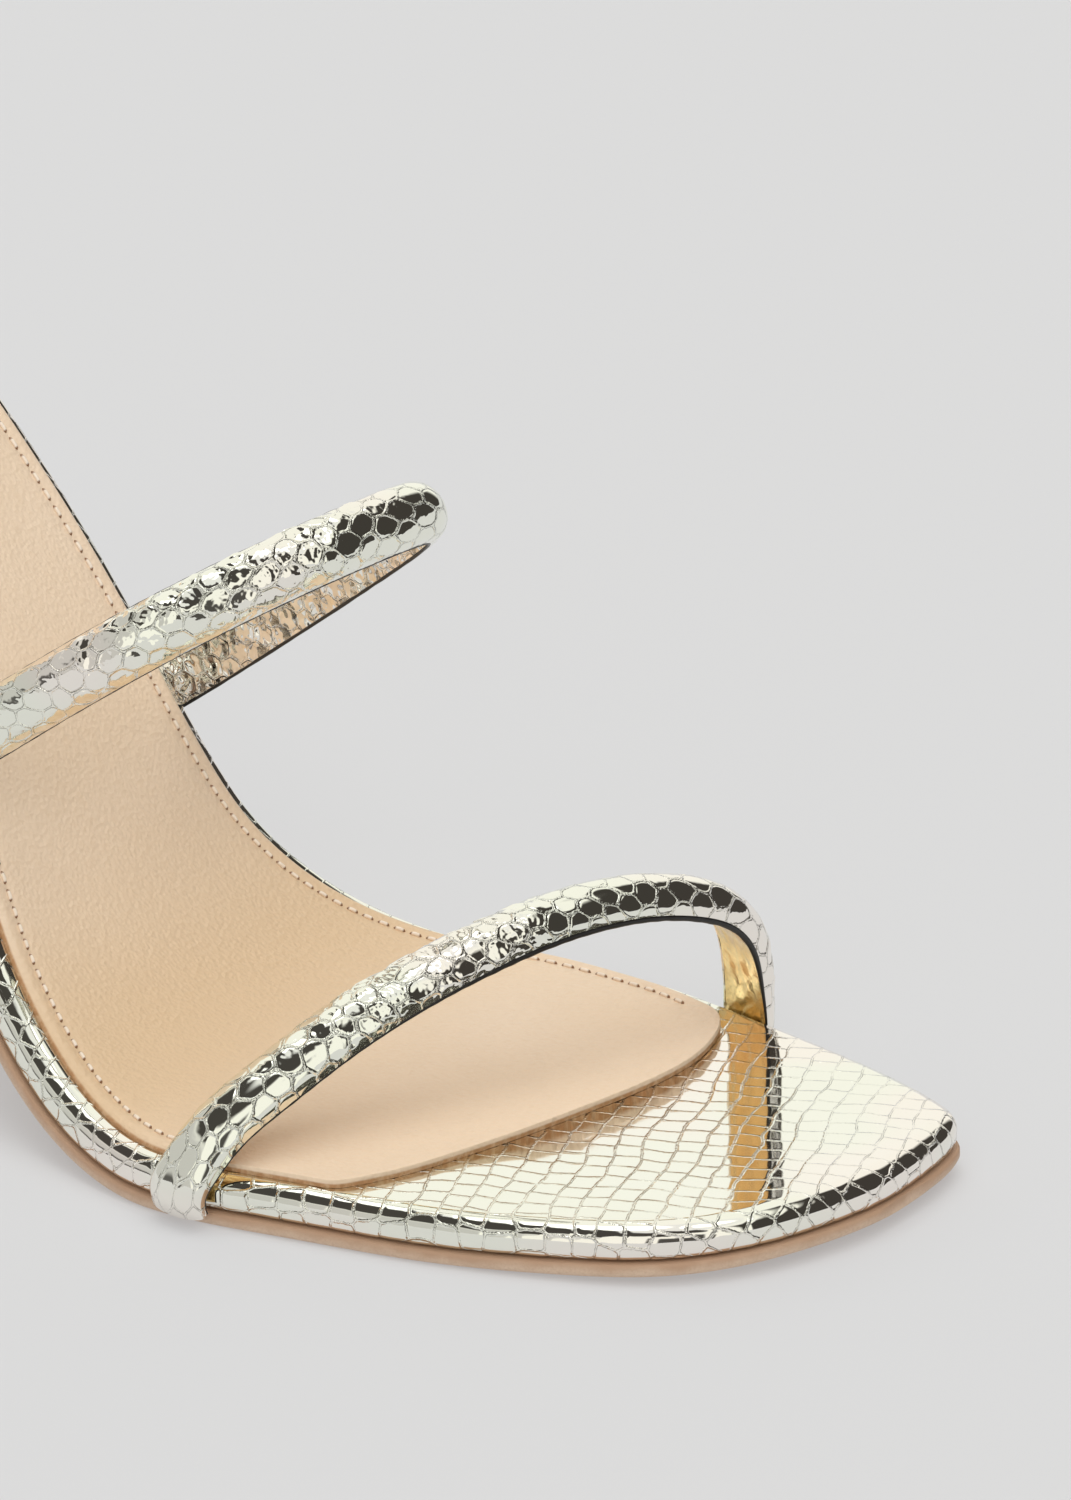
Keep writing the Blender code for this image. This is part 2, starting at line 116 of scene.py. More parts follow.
ARCH_SLOPE = (
    # station, slope
    (0.000, 0.000),
    (0.020, 0.075),
    (0.105, 0.370),
    (0.195, 0.680),
    (0.305, 0.985),
    (0.370, 0.985),
    (0.430, 0.920),
    (0.570, 0.785),
    (0.710, 0.640),
    (0.855, 0.455),
    (1.000, 0.300),
)
OUTLINE = (
    # station, inner side, outer side
    (0.000, 0.093, 0.093),
    (0.006, 0.268, -0.030),
    (0.024, 0.330, -0.172),
    (0.056, 0.371, -0.292),
    (0.100, 0.410, -0.366),
    (0.160, 0.448, -0.435),
    (0.240, 0.474, -0.496),
    (0.300, 0.455, -0.529),
    (0.360, 0.400, -0.502),
    (0.440, 0.317, -0.428),
    (0.540, 0.266, -0.354),
    (0.640, 0.260, -0.315),
    (0.760, 0.272, -0.318),
    (0.860, 0.300, -0.325),
    (0.940, 0.270, -0.285),
    (0.980, 0.185, -0.200),
    (1.000, -0.010, -0.010),
)


def column(table, index):
    return np.array([row[index] for row in table], float)


def smooth(xs, ys, at):
    """Cubic curve through the table that never overshoots: its slopes are harmonic means of the
    slopes to the two neighbours, and nothing where these differ in sign."""
    xs, ys, at = np.asarray(xs, float), np.asarray(ys, float), np.asarray(at, float)
    step = np.diff(xs)
    rise = np.diff(ys) / step
    slope = np.zeros(len(xs))
    slope[0], slope[-1] = rise[0], rise[-1]
    before, after = rise[:-1], rise[1:]
    same = before * after > 0
    near, far = 2 * step[1:] + step[:-1], step[1:] + 2 * step[:-1]
    slope[1:-1][same] = ((near + far)[same]
                         / (near[same] / before[same] + far[same] / after[same]))
    i = np.clip(np.searchsorted(xs, at, side="right") - 1, 0, len(xs) - 2)
    t = (at - xs[i]) / step[i]
    return (ys[i] * (1 + 2 * t) * (1 - t) ** 2 + ys[i + 1] * t * t * (3 - 2 * t)
            + step[i] * (slope[i] * t * (1 - t) ** 2 - slope[i + 1] * t * t * (1 - t)))


def curve(table, index, at):
    """Value of a table's column over its first one."""
    return smooth(column(table, 0), column(table, index), at)


def spline(xs, ys, at):
    """Natural cubic spline: the curve through the points whose bending changes smoothly."""
    xs, ys, at = np.asarray(xs, float), np.asarray(ys, float), np.asarray(at, float)
    n, step = len(xs), np.diff(xs)
    rise = np.diff(ys) / step
    system = np.eye(n)
    bending = np.zeros(n)
    for k in range(1, n - 1):
        system[k, k - 1:k + 2] = step[k - 1], 2 * (step[k - 1] + step[k]), step[k]
        bending[k] = 6 * (rise[k] - rise[k - 1])
    bending = np.linalg.solve(system, bending)
    i = np.clip(np.searchsorted(xs, at, side="right") - 1, 0, n - 2)
    a, b = (xs[i + 1] - at) / step[i], (at - xs[i]) / step[i]
    return (a * ys[i] + b * ys[i + 1]
            + ((a ** 3 - a) * bending[i] + (b ** 3 - b) * bending[i + 1]) * step[i] ** 2 / 6)


def ramp(value, start, end):
    """Smooth step from 0 at the start to 1 at the end."""
    t = np.clip((value - start) / (end - start), 0.0, 1.0)
    return t * t * (3 - 2 * t)


def running(steps):
    """Running total of the steps, from nothing."""
    return np.concatenate([[0.0], np.cumsum(steps)])


def unit(vectors):
    return vectors / np.linalg.norm(vectors, axis=-1, keepdims=True)


def side_profile(steepest):
    """Stations, x, z and slope of the outsole's underside, from the toe tip back. The slope rises
    to the toe in front of the tread, is nothing along it, and follows the arch table behind."""
    station = np.linspace(0.0, FOOTBED_LENGTH, PROFILE_STATIONS)
    toe = 1 - np.clip(station / TREAD_FRONT, 0, 1) ** 2
    toe_slope = 1.5 * TOE_SPRING / TREAD_FRONT
    behind = np.clip((station - TREAD_BACK) / (FOOTBED_LENGTH - TREAD_BACK), 0, 1)
    slope = steepest * curve(ARCH_SLOPE, 1, behind) - toe_slope * toe
    middle = (slope[1:] + slope[:-1]) / 2
    step = np.diff(station)
    x, z = -running(np.cos(middle) * step), running(np.sin(middle) * step)
    return station, x, z - np.interp((TREAD_FRONT + TREAD_BACK) / 2, station, z), slope


def solve_profile():
    """Side profile whose back end is at the heel height, found by halving the steepest slope."""
    low, high = 0.0, STEEPEST_LIMIT
    for _ in range(STEEPEST_HALVINGS):
        steepest = (low + high) / 2
        if side_profile(steepest)[2][-1] < HEEL_HEIGHT:
            low = steepest
        else:
            high = steepest
    return side_profile(steepest)


PROFILE = solve_profile()


def bend(station, side, level):
    """World place of points of the flat sole: along the profile, then out along its normal."""
    stations, x, z, slope = PROFILE
    angle = np.interp(station, stations, slope)
    return np.stack([np.interp(station, stations, x) + level * np.sin(angle),
                     np.asarray(side, float) + 0 * angle,
                     np.interp(station, stations, z) + level * np.cos(angle)], axis=-1)


def outline_side(station, index):
    """Side of the footbed's outline (index 1 inner, 2 outer). The spline runs over the angle whose
    cosine falls along the length, so both ends of the outline are round."""
    turn = np.arccos(1 - 2 * column(OUTLINE, 0))
    at = np.arccos(np.clip(1 - 2 * np.asarray(station) / FOOTBED_LENGTH, -1, 1))
    return BALL_WIDTH * spline(turn, column(OUTLINE, index), at)


def outline_slope(station, index):
    """How fast the outline's side changes with the station."""
    ahead = outline_side(station + OUTLINE_STEP, index)
    return (ahead - outline_side(station - OUTLINE_STEP, index)) / (2 * OUTLINE_STEP)


def outline_stations(start, end, spacing):
    """Stations whose points on the outline lie the spacing apart, on the half that is longer there.
    The spacing may be a function of the station."""
    turn = np.linspace(0.0, math.pi, OUTLINE_SAMPLES)
    fine = start + (end - start) * (1 - np.cos(turn)) / 2
    reach = np.maximum(*(np.hypot(np.diff(fine), np.diff(outline_side(fine, k))) for k in (1, 2)))
    count = running(reach / (spacing(fine[1:]) if callable(spacing) else spacing))
    return np.interp(np.linspace(0.0, count[-1], int(count[-1]) + 2), count, fine)


def outline_halves(station):
    """The outline's halves as (station, side) points, the inner one first."""
    return [np.stack([station, outline_side(station, k)], axis=-1) for k in (1, 2)]


def closed_loop(inner, outer):
    """One loop of (station, side) points from two halves that run from the toe back."""
    joined = np.allclose(inner[-1], outer[-1])
    return np.concatenate([inner, outer[::-1][1 if joined else 0:-1]])


def loop_normals(loop):
    """Unit vectors in the flat plane that point into the loop."""
    along = unit(np.roll(loop, -1, axis=0) - np.roll(loop, 1, axis=0))
    return np.stack([along[:, 1], -along[:, 0]], axis=-1)


def quads(index):
    """Four-cornered faces between the rows and columns of a grid of vertex numbers."""
    return np.stack([index[:-1, :-1], index[:-1, 1:], index[1:, 1:], index[1:, :-1]],
                    axis=-1).reshape(-1, 4)


def ring_quads(rows, count):
    """Faces between closed rows of as many points each."""
    index = np.arange(rows * count).reshape(rows, count)
    return quads(np.hstack([index, index[:, :1]]))


def across_quads(first, count, half, joined):
    """Faces from side to side that close one loop of the sole: triangles at its joined ends."""
    near = first + np.arange(1, half)
    far = first + count - np.arange(1, half)
    start = np.array([[first, near[0], far[0]]])
    if joined:
        faces = np.stack([near[:-2], near[1:-1], far[1:-1], far[:-2]], axis=-1)
        return [start, faces, np.array([[near[-2], near[-1], far[-2]]])]
    return [start, np.stack([near[:-1], near[1:], far[1:], far[:-1]], axis=-1)]


def sheet_faces(rows, count, half, joined):
    """Faces of a flat piece of the sole: closed rows round its edge, and both its sides."""
    faces = [ring_quads(rows, count)]
    for first in (0, (rows - 1) * count):
        faces += across_quads(first, count, half, joined)
    return faces


def make_piece(name, points, faces, finish, uv=None, layers=None, sharp=None):
    """A mesh object at the origin from points in the last's own frame and arrays of faces, all turned
    outwards, shaded smooth. uv and the layers hold a value for each point."""
    points = points.reshape(-1, 3) + PLACE
    mesh = bpy.data.meshes.new(name)
    corners = np.concatenate([block.ravel() for block in faces])
    sizes = np.concatenate([np.full(len(block), block.shape[1]) for block in faces])
    mesh.vertices.add(len(points))
    mesh.vertices.foreach_set("co", points.ravel())
    mesh.loops.add(len(corners))
    mesh.loops.foreach_set("vertex_index", corners.astype(np.int32))
    mesh.polygons.add(len(sizes))
    mesh.polygons.foreach_set("loop_start", np.concatenate([[0], np.cumsum(sizes)[:-1]]))
    if uv is not None:
        mesh.uv_layers.new(name="leather").data.foreach_set("uv", uv.reshape(-1, 2)[corners].ravel())
    for key, values in (layers or {}).items():
        mesh.attributes.new(key, "FLOAT", "POINT").data.foreach_set("value", np.ravel(values))
    mesh.update(calc_edges=True)
    mesh.validate()
    turning = bmesh.new()
    turning.from_mesh(mesh)
    bmesh.ops.recalc_face_normals(turning, faces=turning.faces)
    turning.to_mesh(mesh)
    turning.free()
    mesh.shade_smooth()
    if sharp is not None:
        mesh.set_sharp_from_angle(angle=math.radians(sharp))
    mesh.materials.append(finish)
    piece = bpy.data.objects.new(name, mesh)
    bpy.context.scene.collection.objects.link(piece)
    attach(piece, "root")
    return piece


class Finish:
    """A material whose nodes are added by short calls. Each call gives the node's output."""

    def __init__(self, name):
        self.material = bpy.data.materials.new(name)
        self.material.use_nodes = True
        self.tree = self.material.node_tree
        self.shader = self.tree.nodes["Principled BSDF"]

    def put(self, kind, output=0, settings=None, **inputs):
        made = self.tree.nodes.new(kind)
        for key, value in (settings or {}).items():
            setattr(made, key, value)
        for key, value in inputs.items():
            self.join(value, made.inputs[key.replace("_", " ")])
        return made.outputs[output]

    def join(self, value, socket):
        if isinstance(value, bpy.types.NodeSocket):
            self.tree.links.new(value, socket)
        elif isinstance(value, tuple) and len(value) == 3 and socket.type == "RGBA":
            socket.default_value = (*value, 1.0)
        else:
            socket.default_value = value

    def calc(self, operation, *values):
        made = self.tree.nodes.new("ShaderNodeMath")
        made.operation = operation
        for socket, value in zip(made.inputs, values):
            self.join(value, socket)
        return made.outputs[0]

    def plus(self, first, second):
        return self.calc("ADD", first, second)

    def less(self, first, second):
        return self.calc("SUBTRACT", first, second)

    def times(self, first, second):
        return self.calc("MULTIPLY", first, second)

    def step(self, value, start, end, low=0.0, high=1.0):
        """Smooth step of a value, between two results."""
        return self.put("ShaderNodeMapRange", settings={"interpolation_type": "SMOOTHSTEP"},
                        Value=value, From_Min=start, From_Max=end, To_Min=low, To_Max=high)

    def mix(self, share, first, second):
        """Colour between two colours."""
        made = self.tree.nodes.new("ShaderNodeMix")
        made.data_type = "RGBA"
        self.join(share, made.inputs[0])
        self.join(first, made.inputs[6])
        self.join(second, made.inputs[7])
        return made.outputs[2]

    def place(self):
        return self.put("ShaderNodeTexCoord", output="Object")

    def layer(self, name):
        """Value of one of the mesh's layers."""
        return self.put("ShaderNodeAttribute", output=2, settings={"attribute_name": name})

    def noise(self, scale, detail=2.0, rough=0.5, output=0):
        return self.put("ShaderNodeTexNoise", output=output, Scale=scale, Detail=detail,
                        Roughness=rough, Vector=self.place())

    def bump(self, height, distance, strength=1.0):
        return self.put("ShaderNodeBump", Height=height, Distance=distance, Strength=strength)

    def give(self, **inputs):
        for key, value in inputs.items():
            self.join(value, self.shader.inputs[key.replace("_", " ")])
        return self.material


def outsole_leather():
    """Painted edge: brown above, tan where it meets the floor, with a fine fibrous grain."""
    made = Finish("outsole_leather")
    fibre = made.noise(2600.0, 3.0, 0.6)
    cloud = made.noise(240.0, 2.0, 0.5)
    height = made.plus(made.layer("level"), made.times(made.less(cloud, 0.5), 0.7))
    edge = made.mix(made.step(height, 0.25, 1.0), OUTSOLE_TAN, OUTSOLE_BROWN)
    edge = made.mix(made.step(fibre, 0.35, 0.75, 0.0, 0.35), edge, OUTSOLE_BROWN)
    base = made.mix(made.step(fibre, 0.3, 0.8, 0.0, 0.4), OUTSOLE_BASE, OUTSOLE_TAN)
    return made.give(Base_Color=made.mix(made.layer("under"), edge, base), Roughness=0.62,
                     Normal=made.bump(fibre, 0.0001, 0.6))


outsole_station = outline_stations(0.0, HEEL_BREAST, OUTSOLE_SPACING)
outsole_loop = closed_loop(*outline_halves(outsole_station))
outsole_inward = loop_normals(outsole_loop)
outsole_rows = [outsole_loop + (inset - OUTSOLE_MARGIN) * outsole_inward for _, inset in OUTSOLE_EDGE]
outsole_points = np.concatenate([bend(row[:, 0], row[:, 1], share * OUTSOLE_THICKNESS)
                                 for (share, _), row in zip(OUTSOLE_EDGE, outsole_rows)])
cad_low, cad_high = (np.array(corner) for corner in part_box("outsole"))
# From the last's own frame to the frame that the part was packed in
PLACE = (cad_low + cad_high - outsole_points.min(axis=0) - outsole_points.max(axis=0)) / 2
PLACE[2] = 0.0

count = len(outsole_loop)
outsole_faces = sheet_faces(len(OUTSOLE_EDGE), count, len(outsole_station), False)
outsole = make_piece(
    "outsole_leather_sole", outsole_points, outsole_faces, outsole_leather(), sharp=40,
    layers={"level": np.repeat(column(OUTSOLE_EDGE, 0), count),
            "under": np.repeat((column(OUTSOLE_EDGE, 0) == 0).astype(float), count)})
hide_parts("outsole")

# Wrapped footbed
# A firm footbed wrapped in one skin of metallic leather, embossed with snake scales, which turns over
# the edge and down the wall. It is lasted flat at the toe, where its scales are nearly square.
FOOTBED_THICKNESS = 0.0044
FOOTBED_EDGE = (
    # level as a share of the thickness, inset in metres
    (0.00, 0.0009),
    (0.04, 0.0004),
    (0.10, 0.0002),
    (0.26, 0.0),
    (0.52, 0.0),
    (0.72, 0.0003),
    (0.88, 0.0010),
    (0.97, 0.0018),
    (1.00, 0.0026),
)
FOOTBED_RIM = 0.0040
FOOTBED_STEP = 0.00028
FOOTBED_COLUMNS = 190
TOE_REGION = 0.073
TOE_SPACING = 0.00038
REAR_SPACING = 0.00050
SPACING_CHANGE = 0.03
SOLE_SCALE = np.array([0.0034, 0.0031])
SOLE_SCALE_TURN = math.radians(20.0)
SOLE_STAGGER = 0.20
SOLE_GROOVE_WIDTH = 0.00045
SCALE_ROUNDING = 0.20
SCALE_SEED = 5
SCALE_REPEAT = (97, 89)
LATTICE_CRUMPLE = 0.10
TOP_START = 0.80
TOP_HEXAGON = 0.15
TOP_GROOVE = 0.000006
WALL_GROOVE = 0.00006
TOP_TILT = 0.010
WALL_TILT = 0.020
TOE_CUP = (
    # side, slope towards the inner side
    (-0.300, 0.000),
    (-0.160, 0.125),
    (0.050, 0.110),
    (0.210, 0.070),
    (0.300, 0.030),
    (0.420, 0.000),
)
TOE_CUP_SAMPLES = 200
TOE_LIFT = 0.095
TOE_LIFT_START = 0.045
TOE_LIFT_SOFT = 0.004
TOE_CUP_FADE = (0.040, 0.060)
SKIN_ROSE = (0.965, 0.915, 0.850)
SKIN_SAGE = (0.925, 0.935, 0.840)
# Painted shade along the creases between the plates
SKIN_CREASE_SHADE = (0.200, 0.205, 0.170)


def wrap(value, half_width):
    return (value + half_width) % (2 * half_width) - half_width


def ripple(x, y, wavelength, seed):
    """Smooth noise between about -1 and 1: a sum of sine waves of chance heading and phase whose
    lengths are near the wavelength."""
    chance = np.random.default_rng(seed)
    total = 0.0
    for turn, phase, stretch in chance.random((9, 3)):
        number = 2 * math.pi / (wavelength * (0.7 + 0.8 * stretch))
        heading = 2 * math.pi * turn
        total = total + np.sin(number * (x * math.cos(heading) + y * math.sin(heading))
                               + 2 * math.pi * phase)
    return total / 4.0


def scale_cells(u, v, size, stagger, hexagon):
    """Snake scales in lattice units. Columns of scales stand one unit apart along u, and odd columns
    are moved by the stagger along v. Gives the distance to the scale's border, rounded at corners,
    the offsets from its middle along v and along u, and two chance numbers of the scale."""
    a, b = wrap(u, 1.0), wrap(v, 0.5)
    a_odd, b_odd = wrap(u - 1.0, 1.0), wrap(v - stagger, 0.5)
    wide, tall = size
    square = (a * wide) ** 2 + (b * tall) ** 2
    square_odd = (a_odd * wide) ** 2 + (b_odd * tall) ** 2
    straight = (np.abs(a_odd) - np.abs(a)) * wide / 2
    crossed = (square_odd - square) / (2 * math.hypot(wide, tall / 2))
    border = straight + hexagon * (crossed - straight)
    even = border > 0
    off = np.where(even, b, b_odd)
    ends = (0.5 - np.abs(off)) * tall
    border = np.abs(border)
    soft = SCALE_ROUNDING * tall * hexagon + 1e-9
    blend = np.clip(soft - np.abs(border - ends), 0, None)
    edge = np.minimum(border, ends) - blend ** 2 / (4 * soft)
    along = np.round(np.where(even, u - a, u - a_odd)).astype(int)
    across = np.round(np.where(even, v - b, v - b_odd - stagger)).astype(int)
    chance = np.random.default_rng(SCALE_SEED).random((*SCALE_REPEAT, 2))
    chance = chance[along % SCALE_REPEAT[0], across % SCALE_REPEAT[1]]
    return edge, off * tall, np.where(even, a, a_odd) * wide, chance


def metallic_skin(name, size, stagger, crinkle=1.0, crease_shade=0.65, crush=0.0, crush_scale=560.0):
    """Foil-coated leather embossed with the same scale lattice as the mesh: mirror-bright plates
    inside thin double creases, with crinkled folds in the grooves, and painted shade that darkens the
    crease lines. Its UV holds lattice units, its layer hexagon turns squares into hexagons, and where its
    layer crumple is up, whole patches are crushed, as deep as the crush says and as fine as its scale. The
    layer cup is a height in mm."""
    made = Finish(name)
    wide, tall = (float(value) * 1000 for value in size)
    hexagon, crumpled = made.layer("hexagon"), made.layer("crumple")
    uv = made.put("ShaderNodeUVMap", settings={"uv_map": "leather"})
    moved = made.put("ShaderNodeVectorMath", settings={"operation": "MULTIPLY_ADD"}).node
    made.join(made.noise(1500.0, 3.0, 0.6, output=1), moved.inputs[0])
    moved.inputs[1].default_value = (LATTICE_CRUMPLE, LATTICE_CRUMPLE, 0.0)
    made.join(uv, moved.inputs[2])
    split = made.put("ShaderNodeSeparateXYZ", Vector=moved.outputs[0]).node
    u, v = (made.less(split.outputs[k], LATTICE_CRUMPLE / 2) for k in (0, 1))
    a, b = made.calc("WRAP", u, 1.0, -1.0), made.calc("WRAP", v, 0.5, -0.5)
    a_odd = made.calc("WRAP", made.less(u, 1.0), 1.0, -1.0)
    b_odd = made.calc("WRAP", made.less(v, stagger), 0.5, -0.5)

    def square(first, second):
        return made.plus(made.calc("POWER", made.times(first, wide), 2.0),
                         made.calc("POWER", made.times(second, tall), 2.0))

    def thin_line(distance, offset, width):
        away = made.calc("ABSOLUTE", made.less(distance, offset))
        return made.step(away, 0.2 * width, width, 1.0, 0.0)

    straight = made.less(made.calc("ABSOLUTE", a_odd), made.calc("ABSOLUTE", a))
    straight = made.times(straight, wide / 2)
    crossed = made.less(square(a_odd, b_odd), square(a, b))
    crossed = made.times(crossed, 1 / (2 * math.hypot(wide, tall / 2)))
    border = made.plus(straight, made.times(hexagon, made.less(crossed, straight)))
    even = made.calc("GREATER_THAN", border, 0.0)
    off = made.plus(made.times(even, b), made.times(made.less(1.0, even), b_odd))
    ends = made.times(made.less(0.5, made.calc("ABSOLUTE", off)), tall)
    soft = made.calc("MULTIPLY_ADD", hexagon, SCALE_ROUNDING * tall, 0.02)
    border = made.calc("ABSOLUTE", border)
    edge = made.calc("SMOOTH_MIN", border, ends, soft)
    flat_lines = made.calc("MAXIMUM", thin_line(border, 0.12, 0.05),
                           made.times(thin_line(ends, 0.0, 0.05), 0.6))
    line = made.plus(made.times(flat_lines, made.less(1.0, hexagon)),
                     made.times(thin_line(edge, 0.11, 0.07), hexagon))
    groove = made.step(edge, 0.03, 0.24, 1.0, 0.0)
    line = made.times(line, made.step(made.noise(330.0, 3.0, 0.6), 0.42, 0.64, 0.05, 1.0))
    tone = made.mix(made.step(made.noise(38.0, 1.0), 0.42, 0.58), SKIN_ROSE, SKIN_SAGE)
    folds = made.times(made.noise(1900.0, 2.0, 0.55), groove)
    folds = made.times(folds, made.calc("MULTIPLY_ADD", hexagon, 0.70, 0.30))
    spots = made.calc("MAXIMUM", made.step(made.noise(90.0, 1.0), 0.40, 0.60),
                      made.less(crumpled, 1.0))
    crushed = made.times(made.noise(crush_scale, 2.0, 0.5), made.times(spots, crumpled))
    height = made.plus(made.times(folds, 0.26 * crinkle), made.times(line, -0.03))
    height = made.plus(made.plus(height, made.times(crushed, crush)), made.layer("cup"))
    # Painted shade: the crease lines darken the base colour towards the dark crease tone
    return made.give(Base_Color=made.mix(made.times(line, crease_shade), tone, SKIN_CREASE_SHADE), Metallic=1.0,
                     Roughness=made.plus(made.times(groove, 0.04), 0.05),
                     Normal=made.bump(height, 0.001))


def footbed_profile():
    """Insets, levels, outward normals and unrolled insets of the wrap, from under the wall to its
    rim on the top, evenly spaced along the skin."""
    share, inset = column(FOOTBED_EDGE, 0), column(FOOTBED_EDGE, 1)
    inset = np.append(inset, FOOTBED_RIM)
    level = np.append(share, 1.0) * FOOTBED_THICKNESS
    run = running(np.hypot(np.diff(inset), np.diff(level)))
    at = np.linspace(0.0, run[-1], int(run[-1] / FOOTBED_STEP))
    inset, level = smooth(run, inset, at), smooth(run, level, at)
    along_inset, along_level = np.gradient(inset, at), np.gradient(level, at)
    size = np.hypot(along_inset, along_level)
    return inset, level, along_level / size, along_inset / size, inset[-1] - (at[-1] - at)


def leather_lattice(station, side):
    """Lattice units of the footbed's skin, unrolled flat: turned in plan, and a little uneven."""
    cos, sin = math.cos(SOLE_SCALE_TURN), math.sin(SOLE_SCALE_TURN)
    p, q = -station * cos + side * sin, station * sin + side * cos
    u = p / SOLE_SCALE[0] + 0.16 * ripple(p, q, 0.016, 1) + 0.05 * ripple(p, q, 0.005, 2)
    v = q / SOLE_SCALE[1] + 0.16 * ripple(p, q, 0.014, 3) + 0.05 * ripple(p, q, 0.005, 4)
    return u, v


def skin_relief(u, v, hexagon, depth, tilt):
    """Height of the embossed skin: grooves of the depth along the borders, and plates that lean a
    little, each its own way."""
    edge, along, across, chance = scale_cells(u, v, SOLE_SCALE, SOLE_STAGGER, hexagon)
    lean = (chance[..., 0] - 0.5) * along + (chance[..., 1] - 0.5) * across
    plate = ramp(edge, 0.0, SOLE_GROOVE_WIDTH)
    return (plate - 1) * depth + 2 * tilt * lean * plate


def toe_cup(station, side):
    """Height of the toe's slight cup: it falls towards the inner side by the sum of the slopes
    across it and rises evenly towards the tip. It fades out before the insole."""
    across = np.linspace(column(TOE_CUP, 0)[0], column(TOE_CUP, 0)[-1], TOE_CUP_SAMPLES)
    fall = np.cumsum(curve(TOE_CUP, 1, across)) * (across[1] - across[0]) * BALL_WIDTH
    ahead = TOE_LIFT_START - station
    rise = TOE_LIFT * (ahead + np.hypot(ahead, TOE_LIFT_SOFT)) / 2
    return (rise - np.interp(side / BALL_WIDTH, across, fall)) * (1 - ramp(station, *TOE_CUP_FADE))


def sole_spacing(station):
    change = ramp(station, TOE_REGION, TOE_REGION + SPACING_CHANGE)
    return TOE_SPACING + (REAR_SPACING - TOE_SPACING) * change


footbed_level = OUTSOLE_THICKNESS + CLEARANCE
footbed_station = outline_stations(0.0, FOOTBED_LENGTH, sole_spacing)
footbed_loop = closed_loop(*outline_halves(footbed_station))
footbed_inward = loop_normals(footbed_loop)
inset, level, out_part, up_part, unrolled = footbed_profile()
flat = footbed_loop + unrolled[:, None, None] * footbed_inward
rim_u, rim_v = leather_lattice(flat[..., 0], flat[..., 1])
on_top = ramp(level / FOOTBED_THICKNESS, TOP_START, 1.0)[:, None]
rim_hexagon = 1 - (1 - TOP_HEXAGON) * on_top + 0 * rim_u
rim_groove = WALL_GROOVE + (TOP_GROOVE - WALL_GROOVE) * on_top
rim_tilt = WALL_TILT + (TOP_TILT - WALL_TILT) * on_top
rim_relief = skin_relief(rim_u, rim_v, rim_hexagon, rim_groove, rim_tilt)
rim_inset = inset[:, None] - out_part[:, None] * rim_relief
rim_flat = footbed_loop + rim_inset[..., None] * footbed_inward
rim_level = footbed_level + level[:, None] + up_part[:, None] * rim_relief
rim_points = bend(rim_flat[..., 0], rim_flat[..., 1], rim_level)

rows, count = rim_points.shape[:2]
half = len(footbed_station)
reach = int(np.searchsorted(footbed_station, TOE_REGION))
last_row = (rows - 1) * count
left = last_row + np.arange(1, reach + 1)
right_side = last_row + count - np.arange(1, reach + 1)
share = np.linspace(0.0, 1.0, FOOTBED_COLUMNS)[1:-1]
rim_top = rim_flat[-1]
cap_flat = (rim_top[1:reach + 1, None] * (1 - share[:, None])
            + rim_top[-np.arange(1, reach + 1), None] * share[:, None])
cap_u, cap_v = leather_lattice(cap_flat[..., 0], cap_flat[..., 1])
cap_hexagon = np.full(cap_u.shape, TOP_HEXAGON)
cap_relief = skin_relief(cap_u, cap_v, cap_hexagon, TOP_GROOVE, TOP_TILT)
cap_points = bend(cap_flat[..., 0], cap_flat[..., 1], footbed_level + FOOTBED_THICKNESS + cap_relief)

cap_index = rows * count + np.arange(cap_u.size).reshape(cap_u.shape)
cap_index = np.hstack([left[:, None], cap_index, right_side[:, None]])
behind = np.arange(reach, half - 1)
behind_near, behind_far = last_row + behind, last_row + count - behind
footbed_faces = [
    ring_quads(rows, count), quads(cap_index),
    np.concatenate([[last_row], cap_index[0]])[None, :],
    np.concatenate([cap_index[-1], [behind_far[1], behind_near[1]]])[None, :],
    np.stack([behind_near[1:-1], behind_near[2:], behind_far[2:], behind_far[1:-1]], axis=-1),
    np.array([[behind_near[-1], last_row + half - 1, behind_far[-1]]]),
] + across_quads(0, count, half, True)
skin = metallic_skin("metallic_skin", SOLE_SCALE, SOLE_STAGGER)
footbed_points = np.concatenate([rim_points.reshape(-1, 3), cap_points.reshape(-1, 3)])
rim_cup, cap_cup = (toe_cup(flat[..., 0], flat[..., 1]) for flat in (rim_flat, cap_flat))
u, v, hexagon, cup = (
    np.concatenate([rim.ravel(), cap.ravel()]) for rim, cap in
    ((rim_u, cap_u), (rim_v, cap_v), (rim_hexagon, cap_hexagon), (1000 * rim_cup, 1000 * cap_cup)))
footbed = make_piece("footbed_wrap", footbed_points, footbed_faces, skin,
                     uv=np.stack([u, v], axis=-1), layers={"hexagon": hexagon, "cup": cup})
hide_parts("wrapped_footbed")

